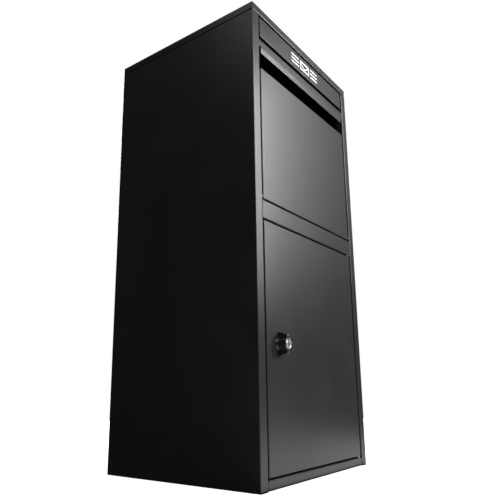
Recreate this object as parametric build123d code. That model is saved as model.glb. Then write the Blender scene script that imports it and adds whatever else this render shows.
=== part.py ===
from build123d import *

import math
import os

# Free-standing parcel drop box of folded, powder-coated sheet steel.
# Millimetres. The origin is the middle of the footprint on the floor, +Z is up,
# the front faces -Y and the width runs along X.

# ---------------------------------------------------------------- cabinet
WIDTH = 450.0
DEPTH = 410.0
HEIGHT = 1000.0
SHEET = 1.2
BEND = 0.8  # inside bend radius of every folded sheet
CORNER = 2.4  # outer radius of a welded pan corner
FIT = 0.2  # gap between sheets that nest inside each other
STILE = 24.0  # front face of each side panel
JAMB = 24.0  # depth of the return behind each stile
REAR_FLANGE = 15.0
TOP_FLANGE = 20.0
BASE_FLANGE = 16.0

CAP_SKIRT = 18.5
CAP_HEM = 10.0
SEAL_THICKNESS = 1.5
SEAL_WIDTH = 6.5
SEAL_INSET = 3.0

# ---------------------------------------------------------------- front, top down
FLAP_TOP_GAP = 5.5
FLAP_HEIGHT = 46.0
FLAP_LOWER_GAP = 9.5
UPPER_RAIL_FACE = 19.5
LIP_LENGTH = 13.0
LIP_ANGLE = 25.0
LIP_END_GAP = 5.0
LIP_NOTCH_RISE = 2.5
RAIN_LIP_RISE = 4.0  # rain lip above the lower edge of the letter flap
GRIP_GAP = 35.7
HOPPER_HEIGHT = 298.2
PANEL_GAP = 3.0  # above and below the hopper and the door
MID_RAIL_HEIGHT = 38.8
BOTTOM_RAIL_TOP = 19.5
BOTTOM_RAIL_LIFT = 0.8
SIDE_GAP = 5.0  # each side of the flap, the hopper and the door
PANEL_SETBACK = 0.8  # moving panels behind the stiles
RAIL_SETBACK = 0.4
RAIL_FLANGE = 14.0
RAIL_END_GAP = 0.4
RAIL_TAB = 15.0

# ---------------------------------------------------------------- letter flap
FLAP_EAR = 9.2
FLAP_HEM = 9.0
FLAP_AXIS_DROP = 8.0  # hinge rod below the top edge
FLAP_AXIS_INSET = 3.5  # hinge rod behind the inside of the flap
ROD_RADIUS = 2.5
PIN_CLEARANCE = 0.06  # running clearance on the radius of a pin
ROD_CAP_RADIUS = 4.2
ROD_CAP_THICKNESS = 2.0

# ---------------------------------------------------------------- parcel hopper
HOPPER_FLANGE = 12.0
HOPPER_AXIS_RISE = 5.5
HOPPER_AXIS_INSET = 3.5
STUD_RADIUS = 2.5
STUD_REACH = 4.0  # stud past the cheek
STUD_SHOULDER_RADIUS = 3.5
STUD_THREAD_RADIUS = 2.0
STUD_NUT_ACROSS_FLATS = 7.0
NUT_THICKNESS = 4.0
CHUTE_SLOPE = 20.0
CHUTE_RISE = 24.7  # chute's front bend above the hopper's lower edge
CHUTE_RIVET_FRONT = 62.0  # from the chute's front bend
CHUTE_RIVET_REAR = 50.0  # from the chute's rear edge
CHUTE_FLANGE = 18.0
CHUTE_SIDE_FLANGE = 12.0
CHUTE_FLANGE_END = 12.0
SWEEP_MARGIN = 6.0  # baffle clear of the hopper's swing
BAFFLE_ANGLE = 33.0  # baffle's front edge, seen from the hopper's hinge
BAFFLE_SLOPE = 25.0
BAFFLE_FLANGE = 20.0
BAFFLE_SIDE_GAP = 1.8
BUFFER_RADIUS = 5.0
BUFFER_EDGE = 15.7  # stop buffers inside the cheek's rounded edge
BUFFER_CORE_RADIUS = 2.0
BUFFER_BOLT_HEAD = 1.4
BUFFER_BOLT_HEAD_RADIUS = 3.8
STOP_BUFFER_LAP = 7.0  # stop buffer past the jamb's face
HOPPER_OPENING = 45.0
PAD_RADIUS = 3.2
PAD_GAP = 0.3  # rest pad to the panel that lands on it
PAD_THICKNESS = 3.0
REST_BRACKET_DROP = 28.0
REST_BRACKET_HEIGHT = 24.0
REST_BRACKET_REACH = 11.0
CHEEK_GAP = 24.0  # cheek's rounded edge below the rest brackets

# ---------------------------------------------------------------- door and lock
DOOR_FLANGE = 15.0
DOOR_AXIS_EDGE = 4.5  # pivot pins from the door's right edge
DOOR_AXIS_INSET = 3.4
PIVOT_RADIUS = 2.0
PIVOT_HEAD_RADIUS = 3.2
PIVOT_HEAD = 1.5
PIVOT_REACH = 2.0  # pin past the inside of the door's return
WASHER_RADIUS = 3.6
WASHER_GAP = 0.2
STOP_END = 25.0
STOP_LEG = 11.0
STOP_REACH = 11.0
STOP_SETBACK = 20.4  # stop angle's face behind the front plane
STIFFENER_OFFSET = 30.0
STIFFENER_WIDTH = 34.0
STIFFENER_DEPTH = 9.0
STIFFENER_FOOT = 15.0
STIFFENER_SHEET = 1.0
STIFFENER_INSET = 20.0
LOCK_INSET = 45.0  # lock axis from the door's left edge
LOCK_HEIGHT = 265.0
LOCK_BODY_RADIUS = 9.5
LOCK_HOLE_CLEARANCE = 0.2
ROSETTE_RADIUS = 15.0
ROSETTE_THICKNESS = 2.6
ROSETTE_RING_RADIUS = 13.2
ROSETTE_RING = 2.0
BODY_LENGTH = 19.7
SPINDLE_RADIUS = 6.0
TURN_CLEARANCE = 0.08
COLLAR_RADIUS = 8.0
COLLAR_GAP = 0.3
COLLAR_THICKNESS = 3.8
SQUARE = 7.0
SQUARE_CLEARANCE = 0.1
LOCK_NUT_ACROSS_FLATS = 24.0
LOCK_NUT_THICKNESS = 5.0
LOCK_WASHER_RADIUS = 13.0
LOCK_WASHER_THICKNESS = 1.0
KNOB_GAP = 0.3
KNOB_LENGTH = 16.5
KNOB_BOSS_RADIUS = 12.6
KNOB_BASE_SPAN = 49.0
KNOB_TIP_SPAN = 32.0
KNOB_WING = 11.0
KNOB_TIP_ROUND = 3.0
KNOB_BASE_ROUND = 0.8
BEZEL_RADIUS = 10.0
BEZEL_PROUD = 0.6
BEZEL_LENGTH = 12.5
PLUG_RADIUS = 7.0
PLUG_SETBACK = 0.3
KEY_SLOT_WIDTH = 1.8
KEY_SLOT_HEIGHT = 9.0
KEY_SLOT_DEPTH = 4.0
CAM_LENGTH = 62.0
CAM_WIDTH = 18.0
CAM_THICKNESS = 2.0
CAM_ROUND = 4.0
CAM_SCREW_RADIUS = 2.4
CAM_SCREW_HEAD_RADIUS = 5.2
CAM_SCREW_HEAD = 2.8
CAM_SCREW_LENGTH = 8.0

# ---------------------------------------------------------------- fixings
ANCHOR_RADIUS = 5.0
ANCHOR_SPACING_X = 300.0
ANCHOR_SPACING_Y = 240.0
WALL_HOLE_RADIUS = 4.25
WALL_SPACING_X = 300.0
WALL_HOLE_LOW = 150.0
WALL_HOLE_HIGH = 850.0
RIVET_RADIUS = 1.6
RIVET_HOLE_CLEARANCE = 0.1
RIVET_HEAD_RADIUS = 3.4
RIVET_HEAD = 1.0
RIVET_TAIL = 1.4
RIVET_TAIL_RADIUS = 2.3
MID_RAIL_RIVET_PITCH = 18.0
BAFFLE_RIVET_SPREAD = 368.0
CHEEK_RIVET_END = 25.0
BACK_RIVETS_PER_SIDE = 6
BACK_RIVET_END = 90.0
SCREW_RADIUS = 2.4
SCREW_HEAD_RADIUS = 4.5
SCREW_HEAD = 3.0
SCREW_HOLE_CLEARANCE = 0.2
THREAD_END = 1.0  # thread or rod past its nut or cap
ROOF_NUT_ACROSS_FLATS = 9.0
ROOF_SCREW_INSET = 14.5
ROOF_SCREW_END = 60.0

# ---------------------------------------------------------------- worked-out places
SIDE = WIDTH / 2
FRONT = -DEPTH / 2
BACK = DEPTH / 2
WALL = SIDE - SHEET  # inner face of a side panel
OPENING = SIDE - STILE  # face of each jamb
JAMB_END = FRONT + JAMB
CAP_BOTTOM = HEIGHT - CAP_SKIRT
BODY_TOP = CAP_BOTTOM - SEAL_THICKNESS
PANEL_SIDE = OPENING - SIDE_GAP
PANEL_FACE = FRONT + PANEL_SETBACK
PANEL_INNER = PANEL_FACE + SHEET
RAIL_FACE = FRONT + RAIL_SETBACK
RAIL_SIDE = OPENING - RAIL_END_GAP
BACK_INNER = BACK - 2 * SHEET

FLAP_TOP = CAP_BOTTOM - FLAP_TOP_GAP
FLAP_BOTTOM = FLAP_TOP - FLAP_HEIGHT
UPPER_RAIL_TOP = FLAP_BOTTOM - FLAP_LOWER_GAP
CREASE = UPPER_RAIL_TOP - UPPER_RAIL_FACE
LIP_BOTTOM = CREASE - LIP_LENGTH * math.cos(math.radians(LIP_ANGLE))
HOPPER_TOP = LIP_BOTTOM - GRIP_GAP
HOPPER_BOTTOM = HOPPER_TOP - HOPPER_HEIGHT
MID_RAIL_TOP = HOPPER_BOTTOM - PANEL_GAP
MID_RAIL_BOTTOM = MID_RAIL_TOP - MID_RAIL_HEIGHT
DOOR_TOP = MID_RAIL_BOTTOM - PANEL_GAP
DOOR_BOTTOM = BOTTOM_RAIL_TOP + PANEL_GAP

FLAP_AXIS_Y = PANEL_INNER + FLAP_AXIS_INSET
FLAP_AXIS_Z = FLAP_TOP - FLAP_AXIS_DROP
HOPPER_AXIS_Y = PANEL_INNER + HOPPER_AXIS_INSET
HOPPER_AXIS_Z = HOPPER_BOTTOM + HOPPER_AXIS_RISE
DOOR_AXIS_X = PANEL_SIDE - DOOR_AXIS_EDGE
DOOR_AXIS_Y = PANEL_INNER + DOOR_AXIS_INSET
LOCK_X = -PANEL_SIDE + LOCK_INSET


def slab(x0, x1, y0, y1, z0, z1):
    """Block between two corners."""
    block = Box(x1 - x0, y1 - y0, z1 - z0)
    return Pos((x0 + x1) / 2, (y0 + y1) / 2, (z0 + z1) / 2) * block


def bar_x(radius, x0, x1, y, z):
    """Round bar along X."""
    return Pos((x0 + x1) / 2, y, z) * Rot(0, 90, 0) * Cylinder(radius, x1 - x0)


def bar_y(radius, x, y0, y1, z):
    """Round bar along Y."""
    return Pos(x, (y0 + y1) / 2, z) * Rot(90, 0, 0) * Cylinder(radius, y1 - y0)


def bar_z(radius, x, y, z0, z1):
    """Round bar along Z."""
    return Pos(x, y, (z0 + z1) / 2) * Cylinder(radius, z1 - z0)


def hex_bar_x(across_flats, x0, x1, y, z):
    """Hexagonal nut blank along X."""
    outline = RegularPolygon(across_flats / 2, 6, major_radius=False)
    return Pos(x0, y, z) * Rot(0, 90, 0) * extrude(outline, x1 - x0)


def other_side(shape):
    """The same piece on the opposite side of the box."""
    return mirror(shape, about=Plane.YZ)


def pair(shape):
    """A piece and its mirror image, as two separate solids."""
    return Compound(children=[shape, other_side(shape)])


def bent_sheet(path, thickness, length):
    """Sheet folded along a path in XY, lying on its left, extruded up by a length."""
    count = len(path)
    steps = [Vector(*path[i + 1]) - Vector(*path[i]) for i in range(count - 1)]
    ways = [step.normalized() for step in steps]
    sides = [Vector(-way.Y, way.X) for way in ways]
    inner = [Vector(*path[0]) + sides[0] * thickness]
    near_radii = []
    far_radii = []
    for i in range(1, count - 1):
        mitre = (sides[i - 1] + sides[i]) / (1 + sides[i - 1].dot(sides[i]))
        inner.append(Vector(*path[i]) + mitre * thickness)
        turns_left = ways[i - 1].cross(ways[i]).Z > 0
        near_radii.append(BEND + thickness if turns_left else BEND)
        far_radii.append(BEND if turns_left else BEND + thickness)
    inner.append(Vector(*path[-1]) + sides[-1] * thickness)
    outline = [Vector(*point) for point in path] + inner[::-1]
    radii = [0] + near_radii + [0, 0] + far_radii[::-1] + [0]
    edge = FilletPolyline(*outline, radius=radii, close=True)
    return extrude(make_face(edge), length, dir=(0, 0, 1))


def folded_across(path, thickness, half_width):
    """Sheet folded along a path in YZ, centred on X."""
    return Plane.YZ.offset(-half_width) * bent_sheet(path, thickness, 2 * half_width)


def pan(half_width, y0, y1, z0, z1):
    """Panel with four returns folded back from its front face."""

    def shell(inset, corner, bend):
        block = slab(
            -half_width + inset,
            half_width - inset,
            y0 + inset,
            y1 + inset,
            z0 + inset,
            z1 - inset,
        )
        block = fillet(block.edges().filter_by(Axis.Y), corner)
        return fillet(block.faces().sort_by(Axis.Y)[0].edges(), bend)

    return shell(0, CORNER, BEND + SHEET) - shell(SHEET, CORNER - SHEET, BEND)


def rivet_x(x_head, x_tail, y, z):
    """Blind rivet along X, its dome at x_head and its tail past x_tail."""
    way = 1 if x_head > x_tail else -1
    shank = bar_x(RIVET_RADIUS, *sorted((x_head, x_tail - way * RIVET_TAIL)), y, z)
    head = bar_x(RIVET_HEAD_RADIUS, *sorted((x_head, x_head + way * RIVET_HEAD)), y, z)
    tail_ends = sorted((x_tail, x_tail - way * RIVET_TAIL))
    tail = bar_x(RIVET_TAIL_RADIUS, *tail_ends, y, z)
    return shank + head + tail


def rivet_y(x, y_head, y_tail, z):
    """Blind rivet along Y, its dome at y_head and its tail past y_tail."""
    way = 1 if y_head > y_tail else -1
    shank = bar_y(RIVET_RADIUS, x, *sorted((y_head, y_tail - way * RIVET_TAIL)), z)
    head = bar_y(RIVET_HEAD_RADIUS, x, *sorted((y_head, y_head + way * RIVET_HEAD)), z)
    tail = bar_y(RIVET_TAIL_RADIUS, x, *sorted((y_tail, y_tail - way * RIVET_TAIL)), z)
    return shank + head + tail


RIVET_HOLE = RIVET_RADIUS + RIVET_HOLE_CLEARANCE
SCREW_HOLE = SCREW_RADIUS + SCREW_HOLE_CLEARANCE


# ---------------------------------------------------------------- fixing places
def back_rivet_places():
    """Rivets that hold the back panel to the rear flange of one side."""
    pitch = (BODY_TOP - 2 * BACK_RIVET_END) / (BACK_RIVETS_PER_SIDE - 1)
    x = SIDE - REAR_FLANGE / 2
    return [(x, BACK_RIVET_END + i * pitch) for i in range(BACK_RIVETS_PER_SIDE)]


def rail_rivet_places():
    """Rivets that hold the end tabs of the three rails to one jamb."""
    mid = (MID_RAIL_TOP + MID_RAIL_BOTTOM) / 2
    low = (BOTTOM_RAIL_TOP + BOTTOM_RAIL_LIFT) / 2
    upper = (UPPER_RAIL_TOP + CREASE) / 2
    y = FRONT + RAIL_TAB - RIVET_HEAD_RADIUS
    half_pitch = MID_RAIL_RIVET_PITCH / 2
    return [(y, z) for z in (low, mid - half_pitch, mid + half_pitch, upper)]


def baffle_rivet_places():
    """Rivets that hold the baffle to the back panel."""
    z = baffle_back_height() + BAFFLE_FLANGE / 2 + BEND
    return [(BAFFLE_RIVET_SPREAD * i / 4, z) for i in range(-2, 3)]


def cheek_rivet_places():
    """Rivets through one cheek and the hopper's side flange."""
    y = PANEL_FACE + HOPPER_FLANGE - RIVET_HEAD_RADIUS - FIT
    low = HOPPER_AXIS_Z + CHEEK_RIVET_END
    high = HOPPER_AXIS_Z + sweep_radius() - CHEEK_RIVET_END
    return [(y, low), (y, (low + high) / 2), (y, high)]


def roof_screw_places():
    """Screws through one side panel's top flange into the cap."""
    x = SIDE - ROOF_SCREW_INSET
    return [(x, FRONT + ROOF_SCREW_END), (x, 0.0), (x, BACK - ROOF_SCREW_END)]


# ---------------------------------------------------------------- hopper geometry
def chute_front():
    """Front bend of the chute plate, on the back of the hopper panel."""
    return PANEL_INNER, HOPPER_BOTTOM + CHUTE_RISE


def sweep_radius():
    """Radius of the cheeks about the hopper's hinge."""
    return HOPPER_TOP - REST_BRACKET_DROP - CHEEK_GAP - HOPPER_AXIS_Z


def chute_length():
    """Slope length that brings the chute's rear edge onto the cheeks' rounded edge."""
    y, z = chute_front()
    slope = math.radians(CHUTE_SLOPE)
    y_from_hinge = y - HOPPER_AXIS_Y
    z_from_hinge = z - HOPPER_AXIS_Z
    along = y_from_hinge * math.cos(slope) - z_from_hinge * math.sin(slope)
    across = y_from_hinge * math.sin(slope) + z_from_hinge * math.cos(slope)
    return math.sqrt(sweep_radius() ** 2 - across**2) - along


def chute_end():
    """Rear edge of the chute plate."""
    y, z = chute_front()
    slope = math.radians(CHUTE_SLOPE)
    length = chute_length()
    return y + length * math.cos(slope), z - length * math.sin(slope)


def baffle_front():
    """Front edge of the baffle, just outside the hopper's swing."""
    reach = sweep_radius() + SWEEP_MARGIN
    angle = math.radians(BAFFLE_ANGLE)
    y = HOPPER_AXIS_Y + reach * math.cos(angle)
    return y, HOPPER_AXIS_Z + reach * math.sin(angle)


def baffle_back_height():
    """Height at which the baffle meets the back panel."""
    y, z = baffle_front()
    return z + (BACK_INNER - FIT - y) * math.tan(math.radians(BAFFLE_SLOPE))


def stop_buffer_place():
    """Centre of a stop buffer: it meets the jamb's rear edge at full opening."""
    meets = JAMB_END + BUFFER_RADIUS + PAD_GAP - HOPPER_AXIS_Y
    ring = sweep_radius() - BUFFER_EDGE
    angle = math.acos(meets / ring) - math.radians(HOPPER_OPENING)
    y = HOPPER_AXIS_Y + ring * math.cos(angle)
    return y, HOPPER_AXIS_Z + ring * math.sin(angle)


# ---------------------------------------------------------------- cabinet sheets
def right_side_panel():
    """Side wall with its front stile, jamb return, rear flange and top flange."""
    path = [
        (OPENING, JAMB_END),
        (OPENING, FRONT),
        (SIDE, FRONT),
        (SIDE, BACK),
        (SIDE - REAR_FLANGE, BACK),
    ]
    panel = bent_sheet(path, SHEET, BODY_TOP)
    flange_back = BACK_INNER - TOP_FLANGE - FIT
    panel += slab(
        SIDE - TOP_FLANGE,
        WALL + SHEET / 2,
        FRONT + SHEET / 2,
        flange_back,
        BODY_TOP - SHEET,
        BODY_TOP,
    )
    rod = ROD_RADIUS + PIN_CLEARANCE
    stud = STUD_THREAD_RADIUS + PIN_CLEARANCE
    reach = (OPENING - SHEET, OPENING + 2 * SHEET)
    panel -= bar_x(rod, *reach, FLAP_AXIS_Y, FLAP_AXIS_Z)
    panel -= bar_x(stud, *reach, HOPPER_AXIS_Y, HOPPER_AXIS_Z)
    for y, z in rail_rivet_places():
        panel -= bar_x(RIVET_HOLE, *reach, y, z)
    for x, z in back_rivet_places():
        panel -= bar_y(RIVET_HOLE, x, BACK_INNER, BACK + SHEET, z)
    for x, y in roof_screw_places():
        panel -= bar_z(SCREW_HOLE, x, y, BODY_TOP - 2 * SHEET, BODY_TOP + SHEET)
    return panel


def back_panel():
    """Flat back with a top flange, riveted inside the side panels' rear flanges."""
    half = WALL - BEND - SHEET / 2
    path = [
        (BACK_INNER + SHEET, SHEET + FIT),
        (BACK_INNER + SHEET, BODY_TOP),
        (BACK_INNER + SHEET - TOP_FLANGE, BODY_TOP),
    ]
    panel = folded_across(path, SHEET, half)
    reach = (BACK_INNER - SHEET, BACK)
    for x in (-WALL_SPACING_X / 2, WALL_SPACING_X / 2):
        for z in (WALL_HOLE_LOW, WALL_HOLE_HIGH):
            panel -= bar_y(WALL_HOLE_RADIUS, x, *reach, z)
    for x, z in back_rivet_places():
        panel -= bar_y(RIVET_HOLE, x, *reach, z) + bar_y(RIVET_HOLE, -x, *reach, z)
    for x, z in baffle_rivet_places():
        panel -= bar_y(RIVET_HOLE, x, *reach, z)
    return panel


def base_plate():
    """Floor tray with upturned flanges and four anchor holes."""
    half = WALL - FIT
    front = JAMB_END + FIT
    back = BACK_INNER - FIT

    def block(inset, corner, bend):
        top = BASE_FLANGE + inset
        shape = slab(-half + inset, half - inset, front + inset, back - inset, inset, top)
        shape = fillet(shape.edges().filter_by(Axis.Z), corner)
        return fillet(shape.faces().sort_by(Axis.Z)[0].edges(), bend)

    tray = block(0, CORNER, BEND + SHEET) - block(SHEET, CORNER - SHEET, BEND)
    for x in (-ANCHOR_SPACING_X / 2, ANCHOR_SPACING_X / 2):
        for y in (-ANCHOR_SPACING_Y / 2, ANCHOR_SPACING_Y / 2):
            tray -= bar_z(ANCHOR_RADIUS, x, y, -SHEET, 2 * SHEET)
    return tray


def roof_cap():
    """Cap with a skirt on four sides, hemmed in front and returned on the others."""

    def block(inset, corner, bend):
        shape = slab(
            -SIDE + inset,
            SIDE - inset,
            FRONT + inset,
            BACK - inset,
            CAP_BOTTOM - inset,
            HEIGHT - inset,
        )
        shape = fillet(shape.edges().filter_by(Axis.Z), corner)
        return fillet(shape.faces().sort_by(Axis.Z)[-1].edges(), bend)

    cap = block(0, CORNER, BEND + SHEET) - block(SHEET, CORNER - SHEET, BEND)
    lap = SHEET / 2
    top = CAP_BOTTOM + SHEET
    inner = SIDE - TOP_FLANGE
    right = slab(inner, SIDE - lap, FRONT + lap, BACK - lap, CAP_BOTTOM, top)
    rear = slab(-inner - lap, inner + lap, BACK - TOP_FLANGE, BACK - lap, CAP_BOTTOM, top)
    hem_top = CAP_BOTTOM + CAP_HEM
    hem = slab(-inner - lap, inner + lap, FRONT + lap, FRONT + 2 * SHEET, CAP_BOTTOM, hem_top)
    cap += right + other_side(right) + rear + hem
    for x, y in roof_screw_places():
        hole = bar_z(SCREW_HOLE, x, y, CAP_BOTTOM - SHEET, top + SHEET)
        cap -= hole + other_side(hole)
    return cap


def roof_seal():
    """Foam-rubber strip between the body's top flanges and the cap's returns."""
    outer = SIDE - SEAL_INSET
    inner = outer - SEAL_WIDTH
    back = BACK - SEAL_INSET
    start = FRONT + SEAL_INSET
    side = slab(inner, outer, start, back, BODY_TOP, CAP_BOTTOM)
    rear = slab(-inner, inner, back - SEAL_WIDTH, back, BODY_TOP, CAP_BOTTOM)
    return side + other_side(side) + rear


# ---------------------------------------------------------------- rails
def end_tab(z0, z1):
    """Tab folded back at the right end of a rail, riveted to the jamb."""
    return slab(
        RAIL_SIDE - SHEET,
        RAIL_SIDE,
        RAIL_FACE + SHEET / 2,
        FRONT + RAIL_TAB,
        z0,
        z1,
    )


def drill_tabs(rail, z0, z1):
    """Rivet holes in both end tabs of the rail between two heights."""
    for y, z in rail_rivet_places():
        if z0 < z < z1:
            hole = bar_x(RIVET_HOLE, RAIL_SIDE - 2 * SHEET, RAIL_SIDE + SHEET, y, z)
            rail -= hole + other_side(hole)
    return rail


def upper_rail():
    """Rail under the letter slot: rain lip, sill, face and inward grip lip."""
    slope = math.radians(LIP_ANGLE)
    rain_y = PANEL_FACE + FLAP_EAR + PAD_GAP
    path = [
        (rain_y, FLAP_BOTTOM + RAIN_LIP_RISE),
        (rain_y, UPPER_RAIL_TOP),
        (RAIL_FACE, UPPER_RAIL_TOP),
        (RAIL_FACE, CREASE),
        (RAIL_FACE + LIP_LENGTH * math.sin(slope), LIP_BOTTOM),
    ]
    rail = folded_across(path, SHEET, RAIL_SIDE)
    notch_side = RAIL_SIDE - LIP_END_GAP
    notch_top = CREASE + LIP_NOTCH_RISE
    notch = slab(
        notch_side,
        SIDE,
        FRONT - SHEET,
        FRONT + JAMB,
        LIP_BOTTOM - 2 * SHEET,
        notch_top,
    )
    rail -= notch + other_side(notch)
    tab = end_tab(notch_top, UPPER_RAIL_TOP - SHEET / 2)
    rail += tab + other_side(tab)
    return drill_tabs(rail, CREASE, UPPER_RAIL_TOP)


def mid_rail():
    """Channel between the hopper and the door; it holds the door's upper pin."""
    path = [
        (RAIL_FACE + RAIL_FLANGE, MID_RAIL_TOP),
        (RAIL_FACE, MID_RAIL_TOP),
        (RAIL_FACE, MID_RAIL_BOTTOM),
        (RAIL_FACE + RAIL_FLANGE, MID_RAIL_BOTTOM),
    ]
    rail = folded_across(path, SHEET, RAIL_SIDE)
    tab = end_tab(MID_RAIL_BOTTOM + SHEET / 2, MID_RAIL_TOP - SHEET / 2)
    rail += tab + other_side(tab)
    bore = PIVOT_RADIUS + PIN_CLEARANCE
    ends = (MID_RAIL_BOTTOM - SHEET, MID_RAIL_BOTTOM + 2 * SHEET)
    rail -= bar_z(bore, DOOR_AXIS_X, DOOR_AXIS_Y, *ends)
    return drill_tabs(rail, MID_RAIL_BOTTOM, MID_RAIL_TOP)


def bottom_rail():
    """Channel under the door; it carries the door's lower pin."""
    path = [
        (RAIL_FACE + RAIL_FLANGE, BOTTOM_RAIL_TOP),
        (RAIL_FACE, BOTTOM_RAIL_TOP),
        (RAIL_FACE, BOTTOM_RAIL_LIFT),
        (JAMB_END - FIT, BOTTOM_RAIL_LIFT),
    ]
    rail = folded_across(path, SHEET, RAIL_SIDE)
    tab = end_tab(BOTTOM_RAIL_LIFT + SHEET / 2, BOTTOM_RAIL_TOP - SHEET / 2)
    rail += tab + other_side(tab)
    bore = PIVOT_RADIUS + PIN_CLEARANCE
    ends = (BOTTOM_RAIL_TOP - 2 * SHEET, BOTTOM_RAIL_TOP + SHEET)
    rail -= bar_z(bore, DOOR_AXIS_X, DOOR_AXIS_Y, *ends)
    return drill_tabs(rail, BOTTOM_RAIL_LIFT, BOTTOM_RAIL_TOP)


def stop_angle(leg, reach, rear_y, z0, z1):
    """Angle on the right jamb: a leg on the jamb's face and a leg facing the front."""
    x = OPENING - FIT
    path = [(x, rear_y - leg), (x, rear_y), (OPENING - reach, rear_y)]
    return Pos(0, 0, z0) * bent_sheet(path, SHEET, z1 - z0)


# ---------------------------------------------------------------- letter flap
def letter_flap():
    """Flap with an ear at each end and a hemmed lower edge."""
    ear_end = PANEL_FACE + FLAP_EAR
    path = [
        (-PANEL_SIDE, ear_end),
        (-PANEL_SIDE, PANEL_FACE),
        (PANEL_SIDE, PANEL_FACE),
        (PANEL_SIDE, ear_end),
    ]
    flap = Pos(0, 0, FLAP_BOTTOM) * bent_sheet(path, SHEET, FLAP_HEIGHT)
    hem_side = PANEL_SIDE - SHEET - BEND - FIT
    hem_top = FLAP_BOTTOM + FLAP_HEM
    hem_back = PANEL_INNER + SHEET
    flap += slab(-hem_side, hem_side, PANEL_INNER - SHEET / 2, hem_back, FLAP_BOTTOM, hem_top)
    bore = ROD_RADIUS + PIN_CLEARANCE
    return flap - bar_x(bore, -SIDE, SIDE, FLAP_AXIS_Y, FLAP_AXIS_Z)


def flap_hinge_rod():
    """Steel rod through both jambs and both ears."""
    half = OPENING + SHEET + BEND + ROD_CAP_THICKNESS + THREAD_END
    return bar_x(ROD_RADIUS, -half, half, FLAP_AXIS_Y, FLAP_AXIS_Z)


def rod_end_cap():
    """Push-on cap behind the right jamb."""
    start = OPENING + SHEET + BEND
    end = start + ROD_CAP_THICKNESS
    cap = bar_x(ROD_CAP_RADIUS, start, end, FLAP_AXIS_Y, FLAP_AXIS_Z)
    return cap - bar_x(ROD_RADIUS + PIN_CLEARANCE, start, end, FLAP_AXIS_Y, FLAP_AXIS_Z)


# ---------------------------------------------------------------- parcel hopper
def chute_rivet_places():
    """Rivets through one cheek and the chute's side flange, along the slope."""
    slope = math.radians(CHUTE_SLOPE)
    y, z = chute_front()
    places = []
    for along in (CHUTE_RIVET_FRONT, chute_length() - CHUTE_RIVET_REAR):
        up = CHUTE_SIDE_FLANGE / 2 + SHEET / 2
        rivet_y_place = y + along * math.cos(slope) + up * math.sin(slope)
        rivet_z_place = z - along * math.sin(slope) + up * math.cos(slope)
        places.append((rivet_y_place, rivet_z_place))
    return places


def hopper_panel():
    """Front panel of the hopper."""
    back = PANEL_FACE + HOPPER_FLANGE
    panel = pan(PANEL_SIDE, PANEL_FACE, back, HOPPER_BOTTOM, HOPPER_TOP)
    bore = STUD_RADIUS + PIN_CLEARANCE
    panel -= bar_x(bore, -SIDE, SIDE, HOPPER_AXIS_Y, HOPPER_AXIS_Z)
    for y, z in cheek_rivet_places():
        panel -= bar_x(RIVET_HOLE, -SIDE, SIDE, y, z)
    return panel


def right_cheek():
    """Side plate of the hopper, rounded about the hinge."""
    outer = PANEL_SIDE - SHEET
    radius = sweep_radius()
    start_y = PANEL_INNER + BEND + FIT
    low = HOPPER_BOTTOM + CORNER + FIT
    end = chute_end()
    top = (start_y, HOPPER_AXIS_Z + math.sqrt(radius**2 - (start_y - HOPPER_AXIS_Y) ** 2))
    middle = math.radians((90.0 - CHUTE_SLOPE) / 2)
    across = (
        HOPPER_AXIS_Y + radius * math.cos(middle),
        HOPPER_AXIS_Z + radius * math.sin(middle),
    )
    heel = (PANEL_FACE + RAIL_FLANGE + FIT, low)
    edge = Polyline(top, (start_y, low), heel, end) + ThreePointArc(end, across, top)
    cheek = extrude(make_face(edge), SHEET, dir=(0, 0, 1))
    cheek = Plane.YZ.offset(outer - SHEET) * cheek
    reach = (outer - 2 * SHEET, outer + SHEET)
    cheek -= bar_x(STUD_RADIUS + PIN_CLEARANCE, *reach, HOPPER_AXIS_Y, HOPPER_AXIS_Z)
    for y, z in cheek_rivet_places() + chute_rivet_places():
        cheek -= bar_x(RIVET_HOLE, *reach, y, z)
    y, z = stop_buffer_place()
    return cheek - bar_x(BUFFER_CORE_RADIUS + RIVET_HOLE_CLEARANCE, *reach, y, z)


def chute_plate():
    """Sloping floor of the hopper, with a front flange and two side flanges."""
    half = PANEL_SIDE - 2 * SHEET - FIT
    y, z = chute_front()
    end_y, end_z = chute_end()
    path = [(y, z + CHUTE_FLANGE), (y, z), (end_y, end_z)]
    flat_side = half - BEND
    plate = folded_across(path, SHEET, flat_side)
    flange = slab(
        half - SHEET,
        half,
        CHUTE_FLANGE_END,
        chute_length() - CHUTE_FLANGE_END,
        0,
        CHUTE_SIDE_FLANGE,
    )
    foot = slab(
        flat_side - SHEET,
        half - SHEET / 2,
        CHUTE_FLANGE_END,
        chute_length() - CHUTE_FLANGE_END,
        0,
        SHEET,
    )
    flange = Pos(0, y, z) * Rot(-CHUTE_SLOPE, 0, 0) * (flange + foot)
    plate += flange + other_side(flange)
    for rivet_y_place, rivet_z_place in chute_rivet_places():
        plate -= bar_x(RIVET_HOLE, -SIDE, SIDE, rivet_y_place, rivet_z_place)
    return plate


def hopper_rivets():
    """Rivets of both cheeks: three on the panel, two on the chute."""
    inner = PANEL_SIDE - 2 * SHEET
    shapes = [rivet_x(PANEL_SIDE, inner, y, z) for y, z in cheek_rivet_places()]
    tail = inner - FIT - SHEET
    shapes += [rivet_x(PANEL_SIDE - SHEET, tail, y, z) for y, z in chute_rivet_places()]
    return Compound(children=shapes + [other_side(shape) for shape in shapes])


def stop_buffer():
    """Rubber ring on the right cheek that meets the jamb at full opening."""
    y, z = stop_buffer_place()
    start = PANEL_SIDE - SHEET
    end = OPENING + STOP_BUFFER_LAP
    ring = bar_x(BUFFER_RADIUS, start, end, y, z)
    return ring - bar_x(BUFFER_CORE_RADIUS, start, end, y, z)


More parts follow.
